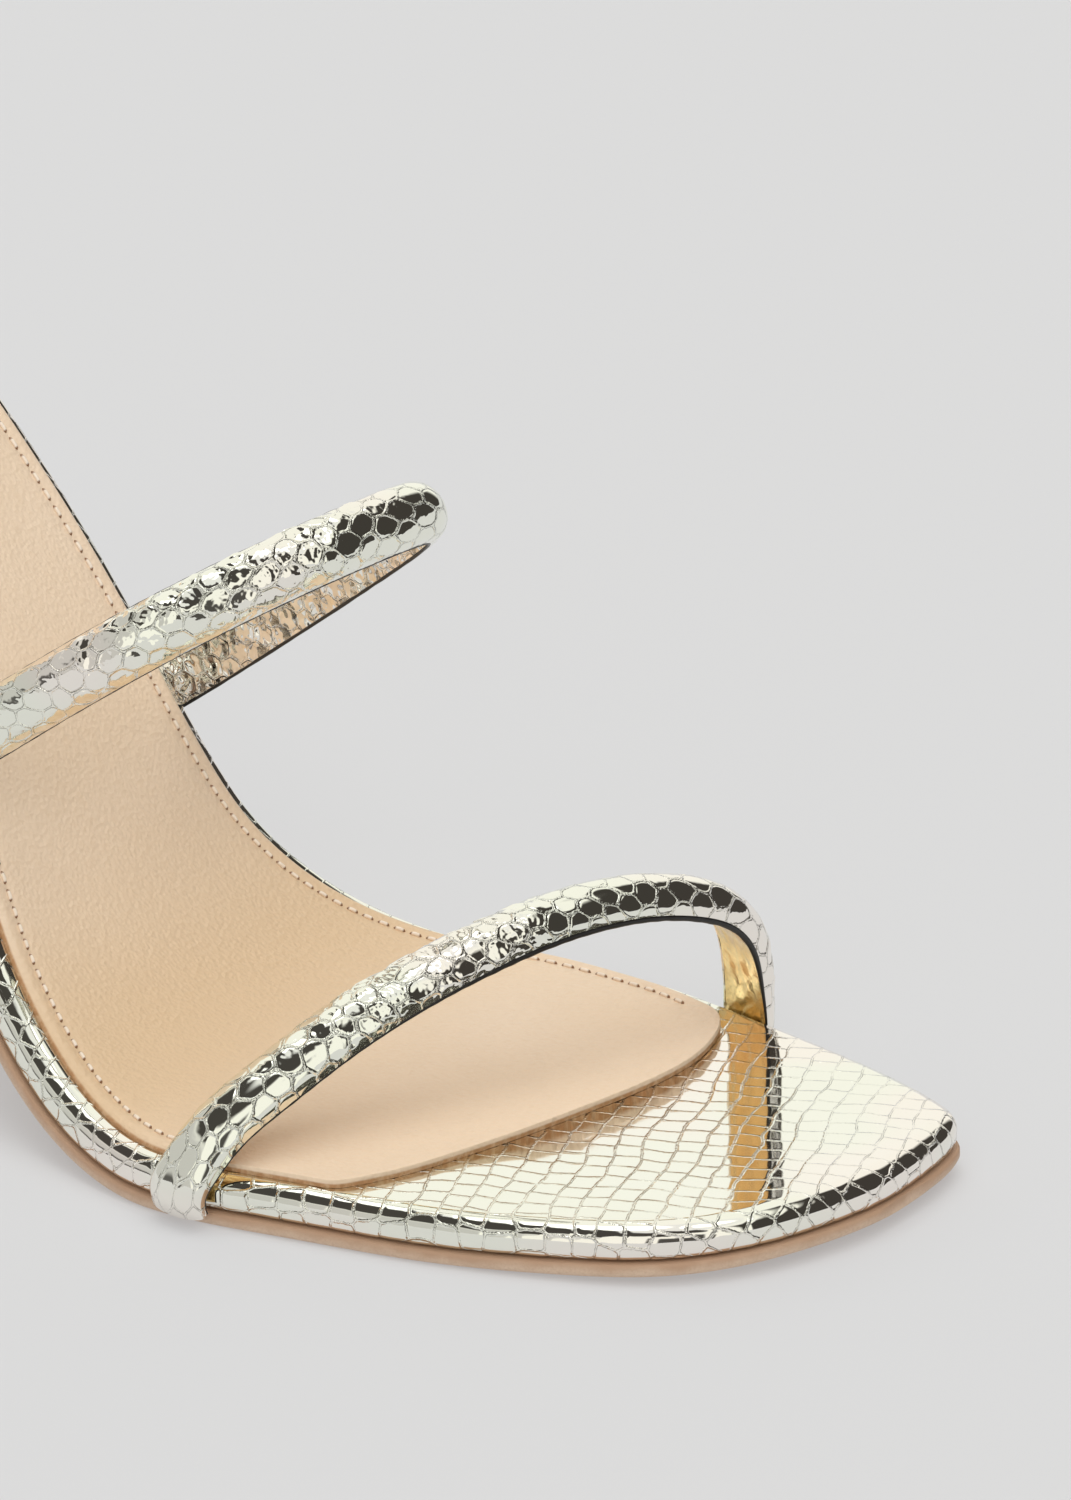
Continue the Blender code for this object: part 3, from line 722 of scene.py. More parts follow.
# Insole
# A nude leather sock, die-cut with a raw brown edge and laid on the footbed. Two rows of pale thread
# are sewn into a shallow groove along its sides, and meet round the heel.
INSOLE_THICKNESS = 0.0008
INSOLE_INSET = 0.0027
INSOLE_FRONT = 0.0385
INSOLE_FRONT_EDGE = (
    # side, setback
    (-0.520, 0.380),
    (-0.494, 0.272),
    (-0.463, 0.205),
    (-0.366, 0.139),
    (-0.171, 0.073),
    (0.000, 0.031),
    (0.116, 0.008),
    (0.207, 0.000),
    (0.304, 0.014),
    (0.363, 0.038),
    (0.395, 0.064),
    (0.425, 0.120),
    (0.440, 0.200),
)
INSOLE_SPACING = 0.0006
INSOLE_CORNER = 0.0012
INSOLE_BACK_RADIUS = 0.0058
SQUEEZE_END = 0.9
INSOLE_CUT_SHARE = 0.3
# Painted shade over the insole's narrow middle: it deepens and then fades out over these stations
WAIST_SHADE_DEEPENS = (0.062, 0.092)
WAIST_SHADE_FADES = (0.096, 0.132)
STITCH_INSET = 0.0027
STITCH_PITCH = 0.0025
STITCH_LENGTH = 0.0019
STITCH_WIDTH = 0.00050
STITCH_LIFT = 0.00018
STITCH_DIP = 0.00016
STITCH_STEPS = 9
STITCH_POINTS = 8
STITCH_END_SHARE = 0.7
STITCH_FRONT_INNER = 0.0475
STITCH_FRONT_OUTER = 0.0745
GROOVE_DEPTH = 0.00022
GROOVE_WIDTH = 0.00075
GROOVE_FADE = (-0.004, 0.001)
SIDES_PART = 0.1
FRONT_SPREAD = 0.12
INSOLE_NUDE = (0.915, 0.725, 0.545)
INSOLE_SHADE = (0.770, 0.555, 0.345)
INSOLE_CUT = (0.520, 0.270, 0.120)
THREAD = (0.960, 0.830, 0.700)
# Painted shade of the stitch holes, put on the ends of each stitch
STITCH_HOLE_SHADE = (0.260, 0.130, 0.060)
INSOLE_ROWS = (
    # inset in metres, level as a share of the thickness
    (0.00000, -0.35),
    (0.00002, -0.05),
    (0.00012, 0.20),
    (0.00030, 0.46),
    (0.00055, 0.72),
    (0.00085, 0.92),
    (0.00120, 1.00),
    (0.00160, 1.00),
    (0.00195, 1.00),
    (0.00220, 1.00),
    (0.00245, 1.00),
    (0.00270, 1.00),
    (0.00295, 1.00),
    (0.00320, 1.00),
    (0.00345, 1.00),
    (0.00380, 1.00),
    (0.00440, 1.00),
    (0.00560, 1.00),
)


def insole_outline(spacing):
    """Halves of the insole's outline: the footbed's own, inset, cut by the insole's front edge."""
    end = FOOTBED_LENGTH - INSOLE_INSET
    fine = outline_stations(0.0, FOOTBED_LENGTH, spacing)
    station = INSOLE_FRONT + (end - INSOLE_FRONT) * (fine / FOOTBED_LENGTH)
    side = BALL_WIDTH * column(INSOLE_FRONT_EDGE, 0)
    setback = INSOLE_FRONT + BALL_WIDTH * column(INSOLE_FRONT_EDGE, 1)
    tip = int(np.argmin(setback))
    halves = []
    for index, run, sign in ((1, slice(tip, None), 1), (2, slice(tip, None, -1), -1)):
        reach = np.sqrt(setback[run] - INSOLE_FRONT)
        front = smooth(reach, side[run] * sign, np.minimum(np.sqrt(station - INSOLE_FRONT), reach[-1]))
        slope = outline_slope(np.minimum(station, SQUEEZE_END * FOOTBED_LENGTH), index)
        squeeze = np.sqrt(1 + slope ** 2)
        stretched = np.minimum(station * FOOTBED_LENGTH / station[-1], FOOTBED_LENGTH)
        inset = outline_side(stretched, index) * sign - INSOLE_INSET * squeeze
        lower = np.minimum(front, inset)
        gap = np.abs(front - inset)
        soft = lower - np.clip(INSOLE_CORNER - gap, 0, None) ** 2 / (4 * INSOLE_CORNER)
        soft[0] = front[0]
        halves.append(np.stack([station, soft * sign], axis=-1))
    # Round the back end, where the two inset halves would cross
    tip_side = (halves[0][-1, 1] + halves[1][-1, 1]) / 2
    ahead = end - station
    half = np.where(ahead < INSOLE_BACK_RADIUS, np.sqrt(2 * INSOLE_BACK_RADIUS * np.abs(ahead)), -1.0)
    halves[0][:, 1] = np.maximum(halves[0][:, 1], tip_side + half)
    halves[1][:, 1] = np.minimum(halves[1][:, 1], tip_side - half)
    halves[0][-1, 1] = halves[1][-1, 1] = tip_side
    return halves


def insole_leather():
    """Smooth calf: a fine pebble that shows where the light grazes, a raw brown cut edge and painted
    shade that darkens its narrow middle a little."""
    made = Finish("insole_leather")
    pores = made.put("ShaderNodeTexVoronoi", Scale=1500.0, Vector=made.place())
    grain = made.noise(900.0, 4.0, 0.6)
    cloud = made.noise(22.0, 2.0, 0.5)
    rough_cut = made.noise(1200.0, 3.0, 0.6)
    top = made.mix(made.step(cloud, 0.35, 0.7, 0.0, 0.25), INSOLE_NUDE, INSOLE_SHADE)
    top = made.mix(made.step(grain, 0.45, 0.75, 0.0, 0.16), top, INSOLE_SHADE)
    raw = made.mix(made.step(rough_cut, 0.4, 0.7, 0.0, 0.5), INSOLE_CUT, INSOLE_SHADE)
    # Painted shade: the insole's narrow middle is mixed towards the darker tone
    top = made.mix(made.times(made.layer("waist_shade"), 0.9), top, INSOLE_SHADE)
    height = made.plus(made.times(pores, 0.8), grain)
    return made.give(Base_Color=made.mix(made.layer("cut"), top, raw), Roughness=0.42,
                     Specular_IOR_Level=0.45, Normal=made.bump(height, 0.00025, 0.5))


insole_halves = insole_outline(INSOLE_SPACING)
insole_loop = closed_loop(*insole_halves)
insole_inward = loop_normals(insole_loop)
insole_level = footbed_level + FOOTBED_THICKNESS + CLEARANCE


def groove_share(station, side):
    """How far the sewn groove has faded in at a point of the edge: it starts behind the insole's
    front on each side."""
    start = np.where(side > SIDES_PART * BALL_WIDTH, STITCH_FRONT_INNER, STITCH_FRONT_OUTER)
    return ramp(station, start + GROOVE_FADE[0], start + GROOVE_FADE[1])


# Near the front's tight corners the rows lie closer to the edge, so that they don't fold over
sewn = groove_share(insole_loop[:, 0], insole_loop[:, 1])
spread = (FRONT_SPREAD + (1 - FRONT_SPREAD) * sewn)[:, None]
insole_points = []
for inset, share in INSOLE_ROWS:
    row = insole_loop + inset * spread * insole_inward
    groove = GROOVE_DEPTH * math.exp(-((inset - STITCH_INSET) / GROOVE_WIDTH) ** 2)
    groove = groove * sewn ** 3
    insole_points.append(bend(row[:, 0], row[:, 1], insole_level + share * INSOLE_THICKNESS - groove))
insole_points = np.concatenate(insole_points)
count = len(insole_loop)
insole_faces = sheet_faces(len(INSOLE_ROWS), count, len(insole_halves[0]), True)
# How much painted shade darkens each point along the insole's narrow middle
waist_shade = ramp(insole_loop[:, 0], *WAIST_SHADE_DEEPENS) * (1 - ramp(insole_loop[:, 0], *WAIST_SHADE_FADES))
cut = (column(INSOLE_ROWS, 1) < INSOLE_CUT_SHARE).astype(float)
insole = make_piece("insole_sock", insole_points, insole_faces, insole_leather(), sharp=60,
                    layers={"waist_shade": np.tile(waist_shade, len(INSOLE_ROWS)), "cut": np.repeat(cut, count)})
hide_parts("insole")


def polyline(points, spacing):
    """Points and directions at even spacing along a line of (station, side) points."""
    run = running(np.linalg.norm(np.diff(points, axis=0), axis=1))
    at = np.arange(spacing / 2, run[-1], spacing)
    place, ahead = (np.stack([np.interp(there, run, points[:, k]) for k in (0, 1)], axis=-1)
                    for there in (at, at + spacing / 4))
    return place, unit(ahead - place)


def thread_finish():
    """Pale twisted thread, its ends painted dark as the shade where a stitch dives into its holes."""
    made = Finish("insole_thread")
    return made.give(Base_Color=made.mix(made.layer("end"), THREAD, STITCH_HOLE_SHADE), Roughness=0.55,
                     Normal=made.bump(made.noise(5000.0, 2.0), 0.00006, 0.5))


stitch_line = insole_loop + STITCH_INSET * insole_inward
start_inner = int(np.searchsorted(insole_halves[0][:, 0], STITCH_FRONT_INNER))
start_outer = len(insole_loop) - int(np.searchsorted(insole_halves[1][:, 0], STITCH_FRONT_OUTER))
middles, along = polyline(stitch_line[start_inner:start_outer], STITCH_PITCH)
square = np.stack([-along[:, 1], along[:, 0]], axis=-1)
turn = np.linspace(0.0, 2 * math.pi, STITCH_POINTS + 1)[:-1]
reach = np.linspace(-1.0, 1.0, STITCH_STEPS)
# A stitch is a lens: its half width and height follow the root of one less the reach's fourth power
full = np.sqrt(np.clip(1 - reach ** 4, 0.0, None))[:, None]
lens_along = np.repeat(reach[:, None] * STITCH_LENGTH / 2, len(turn), axis=1)
lens_side = full * STITCH_WIDTH / 2 * np.cos(turn)
lens_level = full * STITCH_WIDTH / 2 * np.sin(turn) + STITCH_LIFT - STITCH_DIP * (reach ** 2)[:, None]
stitch_flat = (middles[:, None, None] + lens_along[..., None] * along[:, None, None]
               + lens_side[..., None] * square[:, None, None])
stitch_points = bend(stitch_flat[..., 0], stitch_flat[..., 1],
                     insole_level + INSOLE_THICKNESS - GROOVE_DEPTH + lens_level)
one = len(reach) * len(turn)
one_faces = ring_quads(len(reach), len(turn))
stitch_faces = (one_faces + one * np.arange(len(middles))[:, None, None]).reshape(-1, 4)
# Painted shade: the ends of each stitch, where the thread dives into its holes, are darkened
ends = np.repeat((np.abs(reach) > STITCH_END_SHARE).astype(float), len(turn))
stitches = make_piece("insole_stitches", stitch_points, [stitch_faces], thread_finish(),
                      layers={"end": np.tile(ends, len(middles))})

# Straps
# Two padded straps: the snake leather is wrapped round a soft cord and closed on a thin leather
# lining, and the cut edges are painted black, but for the toe strap's back one, where the skin turns
# under. Their feet go down beside the footbed to the outsole's level.
STRAP_WIDTH = 0.0080
STRAP_THICKNESS = 0.0044
STRAP_BORDER = 0.0009
STRAP_SPACING = 0.00022
STRAP_SCALE = np.array([0.00275, 0.0031])
STRAP_STAGGER = 0.5
STRAP_GROOVE = 0.00008
STRAP_GROOVE_WIDTH = 0.00030
STRAP_BORDER_FADE = (0.03, 0.25)
STRAP_FLAT = 0.15
STRAP_TILT = 0.030
TILT_CALM = 0.6
TILT_CRUMPLED = 4.5
COVER_TURN_IN = 0.0006
EDGE_FOOT = 0.00015
EDGE_FOOT_FADE = (0.02, 0.16)
EDGE_CHANGE = (0.30, 0.55)
BEAD_POINTS = 12
BEAD_INSET = 0.00012
BEAD_WIDTH = 0.00018
BEAD_WIDENS = 0.10
BEAD_BULGE = 0.00003
LINING_COLUMNS = 34
LINING_MARGIN = 0.00035
LINING_LIFT = 0.00006
LINING_WRINKLE = 0.00007
LINING_WAVE = 0.0045
LINING_STRETCH = 2.5
LINING_CRUMPLE = 2.0
# Painted reflection: the lining's gold stands in for the nude insole that it mirrors
LINING_INSOLE_REFLECTION = (0.880, 0.660, 0.340)
LINING_SHADE = (0.700, 0.430, 0.160)
EDGE_BLACK = (0.012, 0.010, 0.009)
TOE_STRAP_OUTER = 0.0713
TOE_STRAP_INNER = 0.0433
TOE_STRAP_RISE = 0.0242
TOE_STRAP_LEAN = 5.0
TOE_STRAP_SEED = 21
TOE_STRAP_EDGES = (0.00030, 0.00080)
TOE_STRAP_PATH = (
    # across, rise, turn in degrees, fullness
    (0.000, 0.000, 2.0, 0.45),
    (-0.007, 0.080, 3.0, 0.50),
    (0.012, 0.200, 7.0, 0.70),
    (0.054, 0.345, 12.0, 0.90),
    (0.127, 0.490, 16.0, 1.00),
    (0.230, 0.665, 18.0, 1.00),
    (0.339, 0.810, 19.0, 1.00),
    (0.483, 0.935, 19.0, 1.00),
    (0.631, 1.000, 19.0, 1.00),
    (0.740, 0.985, 19.0, 1.00),
    (0.862, 0.880, 19.0, 1.00),
    (0.919, 0.775, 19.0, 1.00),
    (0.957, 0.625, 19.0, 1.00),
    (0.981, 0.400, 17.0, 0.90),
    (0.995, 0.180, 13.0, 0.70),
    (1.000, 0.000, 10.0, 0.50),
)
TOE_STRAP_CRUMPLE = (
    # share of the length, crumpling
    (0.00, 0.10),
    (0.16, 0.30),
    (0.24, 1.20),
    (0.52, 1.20),
    (0.60, 0.25),
    (0.80, 0.15),
    (0.90, 0.60),
    (1.00, 0.60),
)
INSTEP_STRAP_OUTER = 0.1440
INSTEP_STRAP_INNER = 0.1402
INSTEP_STRAP_RISE = 0.0622
INSTEP_STRAP_LEAN = 52.0
INSTEP_STRAP_SEED = 42
INSTEP_STRAP_EDGES = (0.00030, 0.00036)
INSTEP_STRAP_PATH = (
    # across, rise, turn in degrees, fullness
    (0.000, 0.000, 9.0, 0.45),
    (-0.010, 0.055, 9.0, 0.50),
    (-0.018, 0.130, 7.0, 0.75),
    (-0.021, 0.240, 4.0, 1.00),
    (-0.019, 0.360, 1.0, 1.00),
    (-0.002, 0.500, 0.0, 1.00),
    (0.042, 0.645, 0.0, 1.00),
    (0.117, 0.768, 0.0, 1.00),
    (0.227, 0.864, 0.0, 1.00),
    (0.367, 0.934, 0.0, 1.00),
    (0.530, 0.982, 0.0, 1.00),
    (0.680, 1.000, 0.0, 1.00),
    (0.785, 0.982, 0.0, 1.00),
    (0.850, 0.922, 0.0, 1.00),
    (0.892, 0.835, 0.0, 1.00),
    (0.925, 0.720, 0.0, 1.00),
    (0.961, 0.560, 0.0, 1.00),
    (0.990, 0.380, 0.0, 1.00),
    (1.008, 0.220, -1.0, 0.90),
    (1.014, 0.120, -2.0, 0.70),
    (1.008, 0.050, -3.0, 0.50),
    (1.000, 0.000, -3.0, 0.45),
)
INSTEP_STRAP_CRUMPLE = (
    # share of the length, crumpling
    (0.00, 1.20),
    (0.25, 1.50),
    (0.45, 1.30),
    (0.52, 0.90),
    (0.57, 0.10),
    (0.80, 0.10),
    (1.00, 0.30),
)


def wall_point(station, index, level, away):
    """A point outside the footbed's wall, away from it along the plan normal."""
    sign = 1 if index == 1 else -1
    slope = outline_slope(station, index)
    square = np.array([-slope, 1.0]) * sign / math.hypot(slope, 1.0)
    side = outline_side(station, index) + away * square[1]
    return bend(np.array(station + away * square[0]), np.array(side), level)


def strap_frame(outer_station, inner_station, rise, lean, path):
    """Middle line of a strap's back, its wide and outward directions and its fullness. The path
    lies in a plane over the two feet that leans forward."""
    foot_level = OUTSOLE_THICKNESS + CLEARANCE
    outer = wall_point(outer_station, 2, foot_level, CLEARANCE)
    inner = wall_point(inner_station, 1, foot_level, CLEARANCE)
    angle = math.radians(lean)
    up_plane = np.array([math.sin(angle), 0.0, math.cos(angle)])
    across, up = column(path, 0), column(path, 1)
    points = outer + across[:, None] * (inner - outer) + (up * rise)[:, None] * up_plane
    run = running(np.linalg.norm(np.diff(points, axis=0), axis=1))
    at = np.linspace(0.0, run[-1], int(run[-1] / STRAP_SPACING))
    centre = np.stack([spline(run, points[:, k], at) for k in range(3)], axis=-1)
    along = unit(np.gradient(centre, axis=0))
    turn = np.radians(smooth(run, column(path, 2), at))
    wide = np.stack([math.cos(angle) * np.cos(turn), -np.sin(turn),
                     -math.sin(angle) * np.cos(turn)], axis=-1)
    out = unit(np.cross(wide, along))
    if out[len(at) // 2, 2] < 0:
        out = -out
    return centre, np.cross(along, out), out, smooth(run, column(path, 3), at), at


def carry(frame_rows, w, h):
    """Section points (rows, columns) of widths and heights carried along the strap."""
    centre, wide, out = frame_rows[:3]
    return centre[:, None] + w[..., None] * wide[:, None] + h[..., None] * out[:, None]


def make_tube(name, points, finish, **form):
    """A piece from closed rows of points, with an end face at each end."""
    rows, count = points.shape[:2]
    ends = [np.arange(count)[None, :] + first for first in (0, (rows - 1) * count)]
    return make_piece(name, points, [ring_quads(rows, count)] + ends, finish, **form)


def strip_uv(s, q):
    """Lattice units of a plain strip, along it and across it."""
    return np.stack([s / STRAP_SCALE[0] + 0 * q, q / STRAP_SCALE[1]], axis=-1)


def make_strap(name, node, seed, crumples, edges, back_edge, lining_look, *form):
    """A strap in three pieces: the padded cover, the lining and the painted edges. The edges are as
    thick as the two values of edges, on the outer and on the inner part of the strap."""
    frame_rows = strap_frame(*form)
    fullness, at = frame_rows[3], frame_rows[4]
    half_width = STRAP_WIDTH / 2
    run = at / at[-1]
    low = edges[0] + (edges[1] - edges[0]) * ramp(run, *EDGE_CHANGE)
    low = EDGE_FOOT + (low - EDGE_FOOT) * ramp(np.minimum(run, 1 - run), *EDGE_FOOT_FADE)
    low = low[:, None]

    # The cover: half an ellipse over two short upright borders, in even steps along its full arc
    crown = (STRAP_THICKNESS * fullness - STRAP_BORDER)[:, None]
    full_crown = STRAP_THICKNESS - STRAP_BORDER
    count = int(math.pi * half_width / STRAP_SPACING)
    a = np.linspace(0.0, math.pi, count)
    arc = running(np.hypot(half_width * np.diff(np.cos(a)), full_crown * np.diff(np.sin(a))))
    a = np.interp(np.linspace(0.0, arc[-1], count), arc, a)
    around = np.linspace(-arc[-1] / 2, arc[-1] / 2, count)
    w, h = half_width * np.cos(a) + 0 * crown, STRAP_BORDER + crown * np.sin(a)
    size = np.hypot(crown * np.cos(a), half_width * np.sin(a))
    w_out, h_out = crown * np.cos(a) / size, half_width * np.sin(a) / size
    s, q = at[:, None] + 0 * w, around[None, :] + 0 * w
    u = s / STRAP_SCALE[0] + 0.22 * ripple(s, q, 0.012, seed) + 0.08 * ripple(s, q, 0.004, seed + 1)
    v = q / STRAP_SCALE[1] + 0.20 * ripple(s, q, 0.012, seed + 2) + 0.17 + 0.04 * s / STRAP_SCALE[0]
    edge, off_v, off_u, chance = scale_cells(u, v, STRAP_SCALE, STRAP_STAGGER, 1.0)
    plate = ramp(edge, 0.0, STRAP_GROOVE_WIDTH)
    flatten = STRAP_FLAT * off_v ** 2 / (2 * half_width)
    crumple = curve(crumples, 1, run)[:, None] + 0 * q
    uneven = (0.8 + 0.5 * ripple(s, q, 0.020, seed + 3)) * (
        TILT_CALM + TILT_CRUMPLED * np.minimum(crumple, 1.0))
    lean = 2 * STRAP_TILT * uneven * ((chance[..., 0] - 0.5) * off_u + (chance[..., 1] - 0.5) * off_v)
    depth = STRAP_GROOVE * np.clip(0.65 + 0.55 * ripple(s, q, 0.007, seed + 4), 0.12, 1.3)
    fade = ramp(np.minimum(a, math.pi - a), *STRAP_BORDER_FADE)
    relief = fade * ((plate - 1) * depth + plate * (flatten + lean))
    w, h = w + relief * w_out, h + relief * h_out
    inner_w = 0 * low + half_width - COVER_TURN_IN
    points = carry(frame_rows,
                   np.hstack([inner_w, 0 * low + half_width, w, 0 * low - half_width, -inner_w]),
                   np.hstack([low, low, h, low, low]))
    u, v, crumple = (np.pad(values, ((0, 0), (2, 2)), mode="edge") for values in (u, v, crumple))
    cover = make_tube(name + "_cover", points, strap_skin, uv=np.stack([u, v], axis=-1), sharp=50,
                      layers={"hexagon": np.ones(u.shape), "crumple": crumple})
    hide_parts(node)

    # The lining: a flat band between the painted edges, with soft wrinkles across it
    s = s[:, :1]
    band = np.linspace(1.0, -1.0, LINING_COLUMNS)
    across = band * (half_width - LINING_MARGIN) + 0 * s
    wrinkle = ripple(s + 0 * across, across * LINING_STRETCH, LINING_WAVE, seed + 7)
    inside = LINING_LIFT + LINING_WRINKLE * wrinkle * (1 - band ** 4)
    across = np.hstack([across, across[:, ::-1]])
    points = carry(frame_rows, across, np.hstack([inside, low + 0 * inside]))
    lining = make_tube(name + "_lining", points, lining_look, uv=strip_uv(s, across), sharp=50,
                       layers={"hexagon": np.ones(across.shape),
                               "crumple": np.full(across.shape, LINING_CRUMPLE)})

    # The painted edges: one slim bead along each side, a little uneven
    turn = np.linspace(0.0, 2 * math.pi, BEAD_POINTS + 1)[:-1]
    for side, label in ((1, "front"), (-1, "back")):
        swell = 1 + 0.10 * ripple(s, 0 * s, 0.003, seed + 11 + side)
        bead_w = (side * (half_width - BEAD_INSET)
                  + (BEAD_WIDENS * low + BEAD_WIDTH) * swell * np.cos(turn))
        bead_h = low / 2 + (low / 2 + BEAD_BULGE) * swell * np.sin(turn)
        bead = make_tube(f"{name}_edge_{label}", carry(frame_rows, bead_w, bead_h),
                         back_edge if side < 0 else edge_paint, uv=strip_uv(s, bead_h),
                         layers={"hexagon": np.ones(bead_w.shape)})


def edge_finish():
    """Black edge paint, satin, slightly lumpy."""
    made = Finish("black_edge_paint")
    return made.give(Base_Color=EDGE_BLACK, Roughness=0.34,
                     Normal=made.bump(made.noise(1500.0, 2.0), 0.0001, 0.4))


def lining_finish():
    """Metallic kid lining, soft, with fine wrinkles. Its gold colour is a painted reflection of the
    nude insole that it faces.
    """
    made = Finish("lining_painted_reflection")
    fold = made.noise(260.0, 3.0, 0.6)
    # The gold base colour is a painted reflection of the nude insole
    tone = made.mix(made.step(fold, 0.45, 0.6, 0.0, 0.4), LINING_INSOLE_REFLECTION, LINING_SHADE)
    return made.give(Base_Color=tone, Metallic=1.0, Roughness=0.22,
                     Normal=made.bump(fold, 0.0004, 0.5))


strap_skin = metallic_skin("strap_skin", STRAP_SCALE, STRAP_STAGGER, crush=0.60, crush_scale=380.0)
strap_back = metallic_skin("strap_back_skin", STRAP_SCALE, STRAP_STAGGER, crinkle=1.4, crease_shade=0.5,
                           crush=2.00, crush_scale=230.0)
edge_paint = edge_finish()
make_strap("toe_strap", "toe_strap", TOE_STRAP_SEED, TOE_STRAP_CRUMPLE, TOE_STRAP_EDGES, strap_back,
           lining_finish(), TOE_STRAP_OUTER, TOE_STRAP_INNER, TOE_STRAP_RISE, TOE_STRAP_LEAN,
           TOE_STRAP_PATH)
make_strap("instep_strap", "instep_strap", INSTEP_STRAP_SEED, INSTEP_STRAP_CRUMPLE, INSTEP_STRAP_EDGES,
           edge_paint, strap_back, INSTEP_STRAP_OUTER, INSTEP_STRAP_INNER, INSTEP_STRAP_RISE,
           INSTEP_STRAP_LEAN, INSTEP_STRAP_PATH)

# Heel
# A slim high heel, moulded and covered in the same snake leather, screwed up under the footbed. The
# photograph doesn't show it, so it is plain. Its black rubber top piece takes the floor.
HEEL_TIP_WIDTH = 0.0098
HEEL_TIP_DEPTH = 0.0102
HEEL_TIP_SETBACK = 0.0135
HEEL_SEAT_INSET = 0.0004
TOP_PIECE_THICKNESS = 0.0050
HEEL_SPACING = 0.00045
HEEL_ROUND_POINTS = 181
HEEL_BREAST_POINTS = 60
HEEL_SEED = 61
TIP_BACK_POWER = 0.9
TIP_SIDE_POWER = 0.8
HEEL_GROOVE = 0.00008
HEEL_GROOVE_WIDTH = 0.0005
HEEL_GROOVE_FADE = 0.01
TOP_PIECE_POINTS = 61
RUBBER = (0.020, 0.019, 0.018)
HEEL_FORM = (
    # height, front, back, width, tilt
    (0.000, 0.000, 0.000, 0.000, 0.000),
    (0.120, 0.014, 0.035, 0.030, 0.000),
    (0.250, 0.035, 0.090, 0.070, 0.000),
    (0.380, 0.065, 0.165, 0.115, 0.020),
    (0.500, 0.105, 0.250, 0.170, 0.070),
    (0.600, 0.165, 0.350, 0.245, 0.170),
    (0.690, 0.255, 0.470, 0.350, 0.330),
    (0.770, 0.390, 0.600, 0.485, 0.520),
    (0.840, 0.560, 0.730, 0.640, 0.710),
    (0.900, 0.740, 0.850, 0.800, 0.870),
    (0.955, 0.900, 0.940, 0.930, 0.970),
    (1.000, 1.000, 1.000, 1.000, 1.000),
)
TOP_PIECE_EDGE = (
    # level as a share of the thickness, inset in metres
    (0.00, 0.0004),
    (0.04, 0.00015),
    (0.10, 0.0),
    (0.90, 0.0),
    (1.00, 0.0001),
)


def tip_section(width, depth, turn):
    """Half-round plan section about its middle: straight at the breast, round at the back."""
    x = depth / 2 - depth * np.abs(np.sin(turn)) ** TIP_BACK_POWER
    y = width / 2 * np.sign(np.cos(turn)) * np.abs(np.cos(turn)) ** TIP_SIDE_POWER
    return np.stack([x, y], axis=-1)


def seat_section(turn):
    """The heel's top: under the footbed, from the breast round the back of its outline."""
    start = HEEL_BREAST + CLEARANCE
    station = start + (FOOTBED_LENGTH - HEEL_SEAT_INSET - start) * np.sin(turn)
    inner = outline_side(station, 1) - HEEL_SEAT_INSET
    outer = outline_side(station, 2) + HEEL_SEAT_INSET
    back = len(turn) // 2
    middle = (inner[back] + outer[back]) / 2
    side = np.where(turn < math.pi / 2, np.maximum(inner, middle), np.minimum(outer, middle))
    side[back] = middle
    return bend(station, side, OUTSOLE_THICKNESS)


heel_turn = np.linspace(0.0, math.pi, HEEL_ROUND_POINTS)
seat = seat_section(heel_turn)
tip_middle = np.array([seat[:, 0].min() + HEEL_TIP_SETBACK, seat[len(heel_turn) // 2, 1]])
tip = tip_section(HEEL_TIP_WIDTH, HEEL_TIP_DEPTH, heel_turn) + tip_middle
heel_floor = TOP_PIECE_THICKNESS + CLEARANCE
seat_level = seat[:, 2].mean()
height = np.linspace(0.0, 1.0, int((seat_level - heel_floor) / HEEL_SPACING))[:, None]
front, back, width, tilt = (curve(HEEL_FORM, k, height) for k in (1, 2, 3, 4))
towards = front + (back - front) * np.sin(heel_turn)
heel_round = np.stack([tip[:, 0] + towards * (seat[:, 0] - tip[:, 0]),
                       tip[:, 1] + width * (seat[:, 1] - tip[:, 1]),
                       heel_floor + height * (seat_level - heel_floor) + tilt * (seat[:, 2] - seat_level)],
                      axis=-1)
share = np.linspace(0.0, 1.0, HEEL_BREAST_POINTS + 2)[1:-1]
heel_breast = heel_round[:, -1:] * (1 - share[:, None]) + heel_round[:, :1] * share[:, None]
heel_points = np.concatenate([heel_round, heel_breast], axis=1)
around = np.linalg.norm(np.roll(heel_points, -1, axis=1) - heel_points, axis=-1)
around = np.cumsum(around, axis=1) - around
around -= around[:, len(heel_turn) // 2][:, None]
climb = np.cumsum(np.linalg.norm(np.diff(heel_points, axis=0, prepend=heel_points[:1]), axis=-1),
                  axis=0).mean(axis=1)[:, None] + 0 * around
u = around / STRAP_SCALE[0] + 0.15 * ripple(around, climb, 0.013, HEEL_SEED)
v = climb / STRAP_SCALE[1] + 0.15 * ripple(around, climb, 0.013, HEEL_SEED + 1)
edge, off_v, off_u, chance = scale_cells(u, v, STRAP_SCALE, STRAP_STAGGER, 1.0)
relief = (ramp(edge, 0.0, HEEL_GROOVE_WIDTH) - 1) * HEEL_GROOVE
relief *= ramp(np.minimum(height, 1 - height), 0.0, HEEL_GROOVE_FADE)
along_row = np.roll(heel_points, -1, axis=1) - np.roll(heel_points, 1, axis=1)
along_column = np.gradient(heel_points, axis=0)
normal = unit(np.cross(along_row, along_column))
outwards = heel_points - heel_points.mean(axis=1)[:, None]
normal *= np.sign(np.einsum("ijk,ijk->", normal, outwards))
